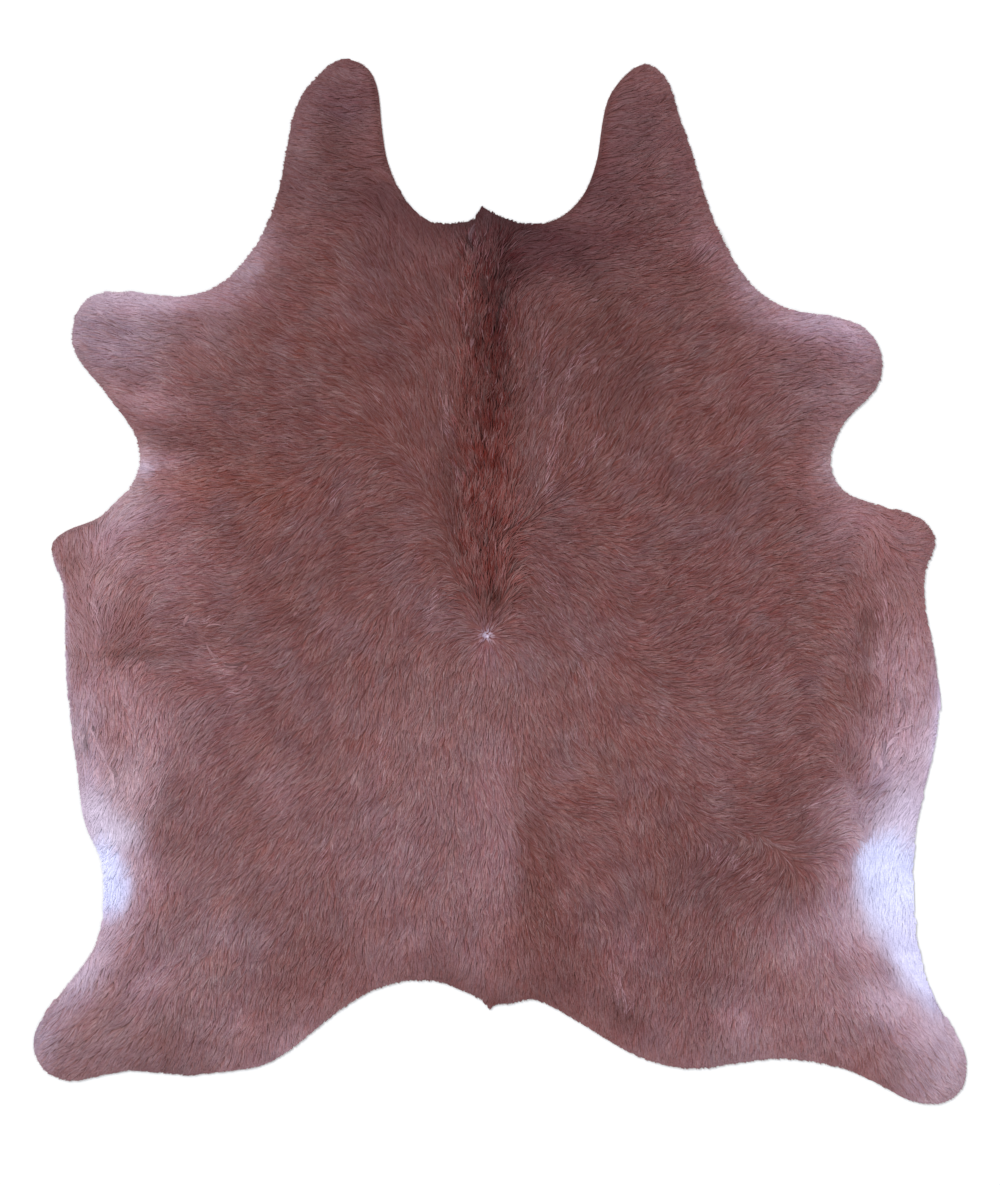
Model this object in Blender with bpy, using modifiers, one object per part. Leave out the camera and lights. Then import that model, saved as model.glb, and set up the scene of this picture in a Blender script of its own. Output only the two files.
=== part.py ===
# A hair-on cattle hide, laid flat with the hair side up.
# Metres, +Z up. X runs across the hide, +Y towards the neck, and the flesh side rests on z = 0.

from collections import namedtuple

import bmesh
import bpy
import numpy as np
from mathutils import Vector
from mathutils.geometry import delaunay_2d_cdt

MM = 0.001

# Driving sizes of the whole hide
HIDE_WIDTH = 1868 * MM
HIDE_LENGTH = 2094 * MM

# Skin and hair together, from the cut edge inwards
RIM_THICKNESS = 3.2 * MM
SHOULDER_THICKNESS = 5.2 * MM
BODY_THICKNESS = 7.0 * MM
FULLEST_THICKNESS = 13.0 * MM

# Strips along the edge in which the hair comes up to its full depth
SHOULDER_INSET = 10 * MM
PILE_RISE_WIDTH = 70 * MM

# The tufted ridge of hair along the spine, which fades out at both ends
SPINE_ACROSS = -28 * MM
SPINE_HALF_WIDTH = 46 * MM
SPINE_EXTRA = 4.4 * MM
SPINE_NECK_END = 716 * MM
SPINE_WHORL_END = -62 * MM
SPINE_FADE = 90 * MM

# The whorl at the spine's end, a shallow dish from which the hair turns
WHORL_ALONG = -108 * MM
WHORL_RADIUS = 52 * MM
WHORL_DEPTH = 1.6 * MM

# Slow unevenness of the hair's depth over the body
SWELL_HEIGHT = 0.7 * MM
SWELL_LENGTHS = (310 * MM, 230 * MM, 170 * MM)

# The knife's small unevenness along the edge, in whole waves round the outline
KNIFE_WANDER = 0.7 * MM
KNIFE_WAVES = (43, 71, 109)

# Mesh steps
RIM_STEP = 18 * MM
GRID_STEP = 50 * MM
GRID_CLEARANCE = 26 * MM
LINE_STEP = 34 * MM
POINT_SPACING = 15 * MM

SEED = 27

# The outline, clockwise as seen from above, from the nub of the neck to the nub of the tail
# and back. Each row is a landmark on the edge, with its distance in millimetres across, to
# the right of the hide's middle, and along, towards the neck. A smooth curve joins them.
NECK_RIGHT_LOBE = (
    ("foot of the neck nub", 4, 728),
    ("neck hollow", 62, 712),
    ("inner root", 126, 731),
    ("inner flank", 181, 804),
    ("inner waist", 201, 900),
    ("inner shoulder", 219, 972),
    ("beside the tip", 252, 1012),
    ("tip", 291, 1033),
    ("outer shoulder", 330, 1008),
    ("outer waist", 357, 940),
    ("outer flank", 389, 845),
    ("outer root", 423, 736),
)
RIGHT_FORELEG = (
    ("front hollow", 464, 650),
    ("front root", 521, 576),
    ("front edge", 598, 537),
    ("front swell", 700, 521),
    ("front tip", 746, 489),
    ("tip", 767, 438),
    ("rear tip", 750, 378),
    ("rear edge", 700, 329),
    ("rear root", 671, 276),
    ("armpit", 663, 240),
)
RIGHT_FLANK = (
    ("rise behind the armpit", 681, 187),
    ("belly front", 736, 158),
    ("towards the corner", 812, 137),
    ("before the corner", 858, 112),
    ("belly corner", 873, 80),
    ("behind the corner", 862, 44),
    ("flank hollow", 849, -10),
    ("flank rise", 861, -98),
    ("flank swell", 881, -232),
    ("flank fall", 872, -330),
    ("stifle", 844, -448),
    ("stifle hollow", 828, -618),
    ("stifle turn", 839, -730),
)
RIGHT_HIND_LEG = (
    ("outer root", 866, -822),
    ("outer edge", 910, -898),
    ("outer tip", 934, -982),
    ("tip", 907, -1034),
    ("inner tip", 857, -1045),
    ("inner edge", 798, -1026),
    ("inner swell", 720, -986),
    ("inner flank", 655, -966),
    ("thigh hollow", 596, -956),
    ("thigh edge", 480, -963),
    ("thigh swell", 376, -974),
    ("inner root", 282, -952),
)
RIGHT_RUMP = (
    ("rump slope", 195, -904),
    ("rump rise", 110, -853),
    ("rump hollow", 62, -836),
    ("beside the tail", 20, -845),
    ("foot of the tail nub", -6, -846),
)
TAIL_NUB = (
    ("right side", -13, -849),
    ("tip", -20, -857),
    ("left side", -28, -847),
)
LEFT_RUMP = (
    ("foot of the tail nub", -36, -838),
    ("rump slope", -102, -807),
    ("rump hollow", -162, -798),
    ("rump rise", -244, -814),
)
LEFT_HIND_LEG = (
    ("inner root", -336, -869),
    ("inner flank", -404, -924),
    ("inner edge", -470, -965),
    ("thigh bulge", -544, -979),
    ("thigh swell", -636, -987),
    ("thigh hollow", -745, -978),
    ("inner tip", -812, -991),
    ("tip", -874, -997),
    ("rear tip", -919, -970),
    ("outer tip", -934, -926),
    ("outer edge", -914, -868),
    ("outer root", -848, -782),
)
LEFT_FLANK = (
    ("stifle turn", -800, -698),
    ("stifle hollow", -793, -620),
    ("stifle", -801, -552),
    ("stifle rise", -823, -504),
    ("flank rise", -840, -424),
    ("flank swell", -860, -270),
    ("flank edge", -872, -120),
    ("flank hollow", -877, -6),
    ("behind the corner", -889, 30),
    ("belly corner", -900, 70),
    ("before the corner", -877, 97),
    ("towards the corner", -824, 119),
    ("belly front", -758, 166),
)
LEFT_FORELEG = (
    ("armpit", -724, 222),
    ("rear root", -726, 276),
    ("rear edge", -758, 334),
    ("rear swell", -818, 409),
    ("rear tip", -851, 455),
    ("tip", -855, 514),
    ("front tip", -828, 562),
    ("front edge", -764, 579),
    ("front hollow", -668, 568),
    ("front swell", -590, 578),
    ("front root", -532, 617),
)
NECK_LEFT_LOBE = (
    ("outer hollow", -476, 694),
    ("outer root", -448, 766),
    ("outer flank", -428, 864),
    ("outer waist", -408, 948),
    ("outer shoulder", -372, 1002),
    ("tip", -304, 1043),
    ("inner shoulder", -261, 1022),
    ("inner waist", -240, 966),
    ("inner flank", -228, 862),
    ("inner root", -197, 775),
    ("neck hollow", -148, 721),
    ("left of the neck", -88, 715),
    ("foot of the neck nub", -48, 723),
)
NECK_NUB = (
    ("left side", -43, 738),
    ("tip", -36, 750),
    ("right side", -25, 741),
)
RIGHT_SIDE = NECK_RIGHT_LOBE + RIGHT_FORELEG + RIGHT_FLANK + RIGHT_HIND_LEG + RIGHT_RUMP
LEFT_SIDE = LEFT_RUMP + LEFT_HIND_LEG + LEFT_FLANK + LEFT_FORELEG + NECK_LEFT_LOBE

# Low folds in which skin and hair rise off the floor together. The ends are given across
# and along, all in millimetres, and the height is the fold's crest above the floor.
Fold = namedtuple("Fold", "name start end half_width height")
FOLDS = (
    Fold("left flank fold", (-792, -116), (-664, -128), 42, 7.0),
    Fold("left belly pucker", (-812, -292), (-796, -346), 30, 4.5),
    Fold("right flank fold", (786, -26), (768, -236), 44, 7.5),
    Fold("right belly pucker", (720, -246), (758, -330), 32, 4.5),
    Fold("right neck fold", (300, 646), (446, 690), 34, 6.0),
)


def table_points(rows):
    """The places in a landmark table, in metres."""
    return np.array([(across * MM, along * MM) for name, across, along in rows])


def curve_bends(at, points):
    """Second derivatives of the natural cubic curve through points, at their distances."""
    gaps = np.diff(at)
    slopes = np.diff(points, axis=0) / gaps[:, None]
    count = len(at)
    system = np.eye(count)
    wanted = np.zeros((count, 2))
    for i in range(1, count - 1):
        system[i, i - 1] = gaps[i - 1]
        system[i, i] = 2.0 * (gaps[i - 1] + gaps[i])
        system[i, i + 1] = gaps[i]
        wanted[i] = 6.0 * (slopes[i] - slopes[i - 1])
    return np.linalg.solve(system, wanted)


def smooth_curve(points, step):
    """Points about a step apart along a natural cubic curve, its two ends included."""
    gaps = np.linalg.norm(np.diff(points, axis=0), axis=1)
    at = np.concatenate(([0.0], np.cumsum(gaps)))
    bends = curve_bends(at, points)
    wanted = np.linspace(0.0, at[-1], round(at[-1] / step) + 1)
    piece = np.clip(np.searchsorted(at, wanted, side="right") - 1, 0, len(at) - 2)
    gap = gaps[piece][:, None]
    after = (wanted - at[piece])[:, None] / gap
    before = 1.0 - after
    straight = before * points[piece] + after * points[piece + 1]
    sag_before = (before**3 - before) * bends[piece]
    sag_after = (after**3 - after) * bends[piece + 1]
    return straight + (sag_before + sag_after) * gap**2 / 6.0


def fit_to_size(loop):
    """Centres the outline and sets its width and length to the driving sizes."""
    low = loop.min(axis=0)
    high = loop.max(axis=0)
    scale = np.array((HIDE_WIDTH, HIDE_LENGTH)) / (high - low)
    return (loop - (low + high) / 2.0) * scale


def outward_normals(loop):
    """The unit vector that points out of the hide at each point of a clockwise loop."""
    along = np.roll(loop, -1, axis=0) - np.roll(loop, 1, axis=0)
    along /= np.linalg.norm(along, axis=1)[:, None]
    return np.stack((-along[:, 1], along[:, 0]), axis=1)


def knife_wander(count, chance):
    """A small in and out displacement for each point of the edge."""
    turn = np.linspace(0.0, 2.0 * np.pi, count, endpoint=False)
    total = np.zeros(count)
    for waves in KNIFE_WAVES:
        total += np.sin(waves * turn + chance.uniform(0.0, 2.0 * np.pi))
    return KNIFE_WANDER * total / len(KNIFE_WAVES)


def cut_edge(chance):
    """The closed outline of the hide, clockwise, as it was cut."""
    right = smooth_curve(table_points(RIGHT_SIDE), RIM_STEP)
    left = smooth_curve(table_points(LEFT_SIDE), RIM_STEP)
    loop = np.concatenate((right, table_points(TAIL_NUB), left, table_points(NECK_NUB)))
    loop = loop + outward_normals(loop) * knife_wander(len(loop), chance)[:, None]
    return fit_to_size(loop)


def edge_distance(points, loop):
    """The distance from each point to the nearest stretch of the outline."""
    ends = np.roll(loop, -1, axis=0)
    run = ends - loop
    offset = points[:, None, :] - loop[None, :, :]
    part_way = (offset * run).sum(axis=2) / (run**2).sum(axis=1)
    nearest = loop + np.clip(part_way, 0.0, 1.0)[:, :, None] * run
    return np.linalg.norm(points[:, None, :] - nearest, axis=2).min(axis=1)


def is_inside(points, loop):
    """True for each point that lies inside the outline, by counting edges to its right."""
    ends = np.roll(loop, -1, axis=0)
    across = points[:, 0][:, None]
    along = points[:, 1][:, None]
    spans = (loop[:, 1] > along) != (ends[:, 1] > along)
    rise = np.where(spans, ends[:, 1] - loop[:, 1], 1.0)
    crossing = loop[:, 0] + (along - loop[:, 1]) * (ends[:, 0] - loop[:, 0]) / rise
    return (spans & (crossing > across)).sum(axis=1) % 2 == 1


def fold_ends(fold):
    """The two ends of a fold's crest, in metres."""
    return np.array(fold.start) * MM, np.array(fold.end) * MM


def segment_distance(points, start, end):
    """The distance from each point to the straight line between two ends."""
    run = end - start
    part_way = np.clip((points - start) @ run / (run @ run), 0.0, 1.0)
    return np.linalg.norm(points - (start + part_way[:, None] * run), axis=1)


def bell(distance, half_width):
    """One on a crest, falling in a smooth curve to nothing at the half width."""
    reach = np.clip(distance / half_width, 0.0, 1.0)
    return 0.5 + 0.5 * np.cos(np.pi * reach)


def soft_step(value, low, high):
    """Nought below low and one above high, with a smooth change between."""
    reach = np.clip((value - low) / (high - low), 0.0, 1.0)
    return reach * reach * (3.0 - 2.0 * reach)


def fold_rise(points):
    """How far the flesh side stands off the floor at each point."""
    rise = np.zeros(len(points))
    for fold in FOLDS:
        start, end = fold_ends(fold)
        crest = bell(segment_distance(points, start, end), fold.half_width * MM)
        rise = np.maximum(rise, fold.height * MM * crest)
    return rise


def spine_ridge(points):
    """The extra depth of the tufted hair along the spine."""
    crest = bell(np.abs(points[:, 0] - SPINE_ACROSS), SPINE_HALF_WIDTH)
    from_whorl = soft_step(points[:, 1], SPINE_WHORL_END - SPINE_FADE, SPINE_WHORL_END)
    to_neck = 1.0 - soft_step(points[:, 1], SPINE_NECK_END - SPINE_FADE, SPINE_NECK_END)
    return SPINE_EXTRA * crest * from_whorl * to_neck


def whorl_dish(points):
    """The hollow in the hair at the whorl."""
    centre = np.array((SPINE_ACROSS, WHORL_ALONG))
    return WHORL_DEPTH * bell(np.linalg.norm(points - centre, axis=1), WHORL_RADIUS)


def slow_swell(points, chance):
    """Wide, low unevenness of the hair."""
    total = np.zeros(len(points))
    for length in SWELL_LENGTHS:
        heading = chance.uniform(0.0, np.pi)
        phase = chance.uniform(0.0, 2.0 * np.pi)
        reach = points @ np.array((np.cos(heading), np.sin(heading)))
        total += np.sin(2.0 * np.pi * reach / length + phase)
    return SWELL_HEIGHT * total / len(SWELL_LENGTHS)


def sheet_thickness(points, edge, chance):
    """Skin and hair together at each point."""
    shoulder = (SHOULDER_THICKNESS - RIM_THICKNESS) * np.clip(edge / SHOULDER_INSET, 0.0, 1.0)
    well_in = soft_step(edge, SHOULDER_INSET, PILE_RISE_WIDTH)
    pile = (BODY_THICKNESS - SHOULDER_THICKNESS) * well_in
    relief = spine_ridge(points) - whorl_dish(points) + slow_swell(points, chance)
    return RIM_THICKNESS + shoulder + pile + relief * well_in


def line_points(start, end, half_width):
    """Rows of points along a crest, at its foot and halfway up on both sides."""
    run = end - start
    length = np.linalg.norm(run)
    ahead = run / length
    aside = np.array((-ahead[1], ahead[0]))
    found = []
    for along in np.linspace(0.0, length, round(length / LINE_STEP) + 1):
        for side in (-1.0, -0.5, 0.0, 0.5, 1.0):
            found.append(start + along * ahead + side * half_width * aside)
    return np.array(found)


def crest_points():
    """Points along the spine and on every fold."""
    neck_end = np.array((SPINE_ACROSS, SPINE_NECK_END))
    whorl_end = np.array((SPINE_ACROSS, WHORL_ALONG))
    found = [line_points(neck_end, whorl_end, SPINE_HALF_WIDTH)]
    for fold in FOLDS:
        start, end = fold_ends(fold)
        found.append(line_points(start, end, fold.half_width * MM))
    return np.concatenate(found)


def grid_points():
    """A triangular grid of points over the whole box of the hide."""
    row_step = GRID_STEP * np.sqrt(0.75)
    rows = int(HIDE_LENGTH / row_step) + 1
    columns = int(HIDE_WIDTH / GRID_STEP) + 1
    found = []
    for row in range(rows):
        for column in range(columns):
            across = (column + 0.5 * (row % 2)) * GRID_STEP - HIDE_WIDTH / 2.0
            found.append((across, row * row_step - HIDE_LENGTH / 2.0))
    return np.array(found)


def shoulder_points(loop):
    """The ring on which the rounded edge of the hair ends, just inside the outline."""
    ring = loop - outward_normals(loop) * SHOULDER_INSET
    clear = edge_distance(ring, loop) > 0.8 * SHOULDER_INSET
    return ring[clear & is_inside(ring, loop)]


def keep_apart(points, kept):
    """Drops each point that lies too close to one that is already kept."""
    kept = list(kept)
    added = []
    for point in points:
        if np.linalg.norm(np.array(kept) - point, axis=1).min() > POINT_SPACING:
            kept.append(point)
            added.append(point)
    return np.array(added)


def inner_points(loop):
    """All the points inside the outline, the ones that carry the shape first."""
    ring = shoulder_points(loop)
    wanted = np.concatenate((crest_points(), grid_points()))
    wanted = wanted[is_inside(wanted, loop)]
    wanted = wanted[edge_distance(wanted, loop) > GRID_CLEARANCE]
    return np.concatenate((ring, keep_apart(wanted, ring)))


def triangulate(loop, inner):
    """The flat net of triangles between the outline and the points inside it."""
    places = [Vector(point) for point in np.concatenate((loop, inner)).tolist()]
    count = len(loop)
    rim = [(i, (i + 1) % count) for i in range(count)]
    inside_rim = 1
    verts, edges, faces, *origins = delaunay_2d_cdt(places, rim, [], inside_rim, 1e-7)
    return np.array([tuple(vert) for vert in verts]), faces


def hide_material():
    """Brown hair, neither glossy nor quite matt."""
    material = bpy.data.materials.new("brown_hair")
    material.use_nodes = True
    shader = material.node_tree.nodes["Principled BSDF"]
    shader.inputs["Base Color"].default_value = (0.195, 0.088, 0.072, 1.0)
    shader.inputs["Roughness"].default_value = 0.62
    shader.inputs["Metallic"].default_value = 0.0
    material.diffuse_color = (0.195, 0.088, 0.072, 1.0)
    return material


def flesh_side(points, faces, collection):
    """The underside of the hide as an open sheet, on the floor but for its folds."""
    mesh = bpy.data.meshes.new("hide")
    rise = fold_rise(points)
    places = np.column_stack((points, rise)).tolist()
    mesh.from_pydata(places, [], faces)
    net = bmesh.new()
    net.from_mesh(mesh)
    bmesh.ops.recalc_face_normals(net, faces=net.faces)
    if sum(face.normal.z for face in net.faces) < 0.0:
        bmesh.ops.reverse_faces(net, faces=net.faces)
    net.to_mesh(mesh)
    net.free()
    mesh.shade_smooth()
    hide = bpy.data.objects.new("hide", mesh)
    collection.objects.link(hide)
    return hide


def thicken(hide, thickness):
    """Gives each point of the sheet its own thickness, upwards."""
    group = hide.vertex_groups.new(name="thickness")
    for index, value in enumerate(thickness / FULLEST_THICKNESS):
        group.add([index], float(value), "REPLACE")
    solid = hide.modifiers.new("skin and hair", "SOLIDIFY")
    solid.thickness = FULLEST_THICKNESS
    solid.offset = 1.0
    solid.vertex_group = group.name
    solid.use_rim = True


def build_hide(collection):
    """The whole hide, one closed solid."""
    chance = np.random.default_rng(SEED)
    loop = cut_edge(chance)
    points, faces = triangulate(loop, inner_points(loop))
    thickness = sheet_thickness(points, edge_distance(points, loop), chance)
    hide = flesh_side(points, faces, collection)
    thicken(hide, thickness)
    hide.data.materials.append(hide_material())
    return hide


def clear_scene():
    """Empties the file that the script runs in."""
    for old in list(bpy.data.objects):
        bpy.data.objects.remove(old, do_unlink=True)


def main():
    clear_scene()
    collection = bpy.data.collections.new("leather_hide")
    bpy.context.scene.collection.children.link(collection)
    build_hide(collection)


main()
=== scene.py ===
"""Looks of a whole cattle hide, tanned with its hair on and laid flat.

The skin is one thin closed sheet on the solid's own outline and folds, suede below.
The hair is some two hundred thousand short closed locks that grow out of it. They are combed as on the
animal: forwards and outwards above the whorl in the middle of the back, backwards and outwards below it.
Across is +X, along is +Y towards the neck. Tables are in millimetres, the rest in metres.
"""
import math
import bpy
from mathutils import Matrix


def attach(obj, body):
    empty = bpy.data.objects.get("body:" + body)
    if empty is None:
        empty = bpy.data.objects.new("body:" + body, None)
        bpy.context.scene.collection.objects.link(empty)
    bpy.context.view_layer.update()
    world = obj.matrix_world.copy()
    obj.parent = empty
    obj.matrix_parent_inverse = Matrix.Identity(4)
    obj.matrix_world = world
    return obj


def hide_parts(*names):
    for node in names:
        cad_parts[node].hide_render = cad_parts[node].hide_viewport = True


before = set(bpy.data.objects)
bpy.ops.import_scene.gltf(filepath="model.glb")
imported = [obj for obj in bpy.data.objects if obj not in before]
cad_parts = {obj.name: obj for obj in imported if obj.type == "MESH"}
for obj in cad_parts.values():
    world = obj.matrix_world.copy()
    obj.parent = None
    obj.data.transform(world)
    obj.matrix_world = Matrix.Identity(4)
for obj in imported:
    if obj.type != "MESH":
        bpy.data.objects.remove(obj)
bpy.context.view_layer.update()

from types import SimpleNamespace

import bpy
import numpy as np
from mathutils import Vector
from mathutils.bvhtree import BVHTree
from mathutils.geometry import delaunay_2d_cdt

MM = 0.001
SEED = 41

SKIN_THICKNESS = 2.3 * MM
SKIN_INSET = 2.5 * MM
SKIN_STEP = 25 * MM

# Grids over the hide: left edge, lower edge, pitch, columns and rows. Then how far waves reach and begin
# before the hide's middle, along and across.
EDGE_GRID = (-0.975, -1.09, 5 * MM, 391, 437)
HEIGHT_GRID = (-0.98, -1.096, 8 * MM, 246, 275)
COMB_GRID = (-0.98, -1.1, 10 * MM, 197, 221)
WAVES_SPAN = (2.4, 2.1)
WAVES_LOW = -1.2
WAVES_LEFT = -1.05
# How many steps the heights are carried past the outline, and how far from the hide their rays start.
HEIGHT_STEPS_PAST = 6
WELL_CLEAR = 0.1
# Runs shorter than this count as level, places nearer than this as one, and skin lower than this as flat.
TINY = 1e-12
DOUBLES = 1e-6
FLAT_BELOW = 0.25 * MM

# The hair parts all round from a whorl in the middle of the back, which has a small pale dot.
# How far round it the hair turns, is shorter, is wider, is set back and is coloured as at its root.
WHORL_X = -27 * MM
WHORL_Y = -107 * MM
WHORL_REACH = 70 * MM
WHORL_SHORT = 20 * MM
WHORL_WIDE = 12 * MM
WHORL_BACK = 10 * MM
WHORL_SEEN = 30 * MM
WHORL_DOT = 8 * MM
WHORL_DOT_STRENGTH = 0.9
WHORL_DOT_COLOUR = (205, 196, 220)
SPINE_ACROSS = -27 * MM
SPINE_HALF_WIDTH = 52 * MM
SPINE_NECK_END = 712 * MM
SPINE_WHORL_END = -75 * MM

# The two coats of short hair. The under coat is broad and soft. Guard hairs are fine, longer and lighter,
# and lie on top of it. First come how far apart the locks grow, their length and their width. Then how high
# the tips are, and how much a calm place, a tuft's core, its lift and chance change that. Then how high the
# roots are and how deep they are sunk, where a lock is widest, and what the coat does to the colour.
# The coats' tints are painted light: the under coat's darker, redder one is painted shade beneath the guard
# hairs, the guard hairs' lighter, bluer one a painted highlight.
UNDER = SimpleNamespace(
    name="under", pitch=5.45 * MM, length=26 * MM, width=5.4 * MM,
    high=0.62, calm=0.16, core=0.14, lift=0.1, lower=0.08,
    root=0.0, sunk=0.0006, part=0.4, shade=(0.95, 0.86, 0.84),
)
GUARD = SimpleNamespace(
    name="guard", pitch=5.55 * MM, length=29 * MM, width=1.4 * MM,
    high=0.86, calm=0.0, core=0.10, lift=0.08, lower=0.14,
    root=0.22, sunk=0.0, part=0.45, shade=(1.02, 1.04, 1.10),
)
# How deep in the skin a lock's side may be, and how far past the outline.
SUNK_MOST = 0.0010
SIDE_PAST = 0.0012
ROW_STEP = 0.8660254
SPINE_PITCH = 4.3 * MM
SPINE_LENGTH = 40 * MM
SPINE_WIDTH = 2.5 * MM
RIM_WIDTH = 2.0 * MM
CLUMP_PITCH = 12 * MM
CLUMP_HALF_LENGTH = 24 * MM
CLUMP_HALF_WIDTH = 7 * MM
CLUMP_PULL = 0.3
FRINGE_STEP = 3.0 * MM
FRINGE_ROWS = 3
# The under coat and the guard hairs come in bands along the hide: name, lowest and highest Y.
BANDS = (
    ("shoulders", 0.30, 2.0),
    ("back", -0.22, 0.30),
    ("legs", -2.0, -0.22),
)

# Which way the hair lies, in strokes of a comb from root to tip:
# across, along, heading in degrees from +X towards +Y.
COMB = {
    "spine": (
        (-25, 690, 92), (-25, 520, 91), (-25, 330, 90), (-26, 160, 88), (-24, 20, 90),
        (-72, 560, 102), (-72, 380, 99), (-68, 200, 104), (22, 480, 82), (24, 300, 80), (22, 130, 78),
    ),
    "neck": (
        (-130, 683, 112), (50, 690, 12), (60, 630, 20), (120, 660, 6), (130, 600, 28), (200, 650, 10),
        (280, 722, 8), (400, 640, 18), (300, 640, 16),
        (280, 900, 8), (285, 985, 20), (-310, 900, 176), (-310, 990, 165), (-360, 765, 172), (-420, 625, 165),
    ),
    "left shoulder": (
        (-170, 563, 125), (-220, 463, 145), (-360, 403, 160), (-480, 303, 172), (-510, 503, 140),
        (-106, 313, 108), (-454, 271, 174), (-680, 253, 180), (-540, 563, 160), (-760, 503, 175),
        (-820, 483, 178), (-700, 383, 165),
    ),
    "right shoulder": (
        (160, 443, 43), (290, 223, 55), (480, 273, 50), (600, 253, 358), (110, 243, 67), (208, 303, 60),
        (410, 189, 38), (200, 193, 35), (200, 505, 42), (400, 463, 30), (560, 443, 15), (700, 463, 352),
        (740, 400, 340),
    ),
    "left back": (
        (-310, 183, 225), (-356, 133, 225), (-200, 109, 195), (-400, 63, 220), (-270, 51, 200),
        (-200, 3, 215), (-126, -40, 222), (-350, -67, 223), (-228, -91, 252), (-590, 20, 190),
        (-700, 60, 196), (-780, 30, 245), (-855, 60, 280),
    ),
    "right back": (
        (150, 133, 2), (280, 103, 38), (60, 77, 338), (80, 3, 312), (104, -51, 305), (220, 53, 335),
        (300, 57, 5), (334, -71, 35), (192, -81, 312), (340, 3, 25), (444, 33, 35), (650, 73, 20),
        (740, 43, 290), (840, 103, 10),
    ),
    "left belly": (
        (-842, -10, 296), (-838, -90, 292), (-774, -10, 236), (-768, -100, 240), (-796, -230, 275),
        (-700, -337, 258), (-580, -137, 185),
        (-620, -73, 190), (-480, -357, 220), (-686, -427, 240), (-340, -437, 235), (-600, -537, 240),
    ),
    "right belly": (
        (520, -181, 40), (650, -147, 345), (696, -157, 295), (770, -117, 272), (780, -237, 268),
        (790, -325, 258), (836, -380, 246), (780, -400, 230),
        (380, -367, 325), (476, -433, 0), (560, -407, 38), (620, -467, 30), (476, -577, 222),
        (285, -437, 280),
    ),
    "rump": (
        (-28, -277, 270), (-28, -537, 270), (-28, -757, 270), (-200, -287, 255), (-120, -197, 262),
        (150, -197, 290), (-200, -537, 253), (90, -497, 305), (160, -457, 350), (120, -737, 280),
        (280, -837, 275), (400, -897, 268), (-400, -837, 258), (-460, -950, 260),
    ),
    "hind legs": (
        (-700, -597, 250), (-760, -757, 245), (-780, -850, 232), (-860, -930, 220), (-600, -837, 250),
        (660, -697, 290), (740, -837, 295), (860, -957, 305), (760, -597, 275), (480, -737, 262),
        (560, -877, 280), (400, -677, 258),
    ),
}
COMB_REACH = 34 * MM

COAT_COLOUR = (117, 78, 76)
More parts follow.
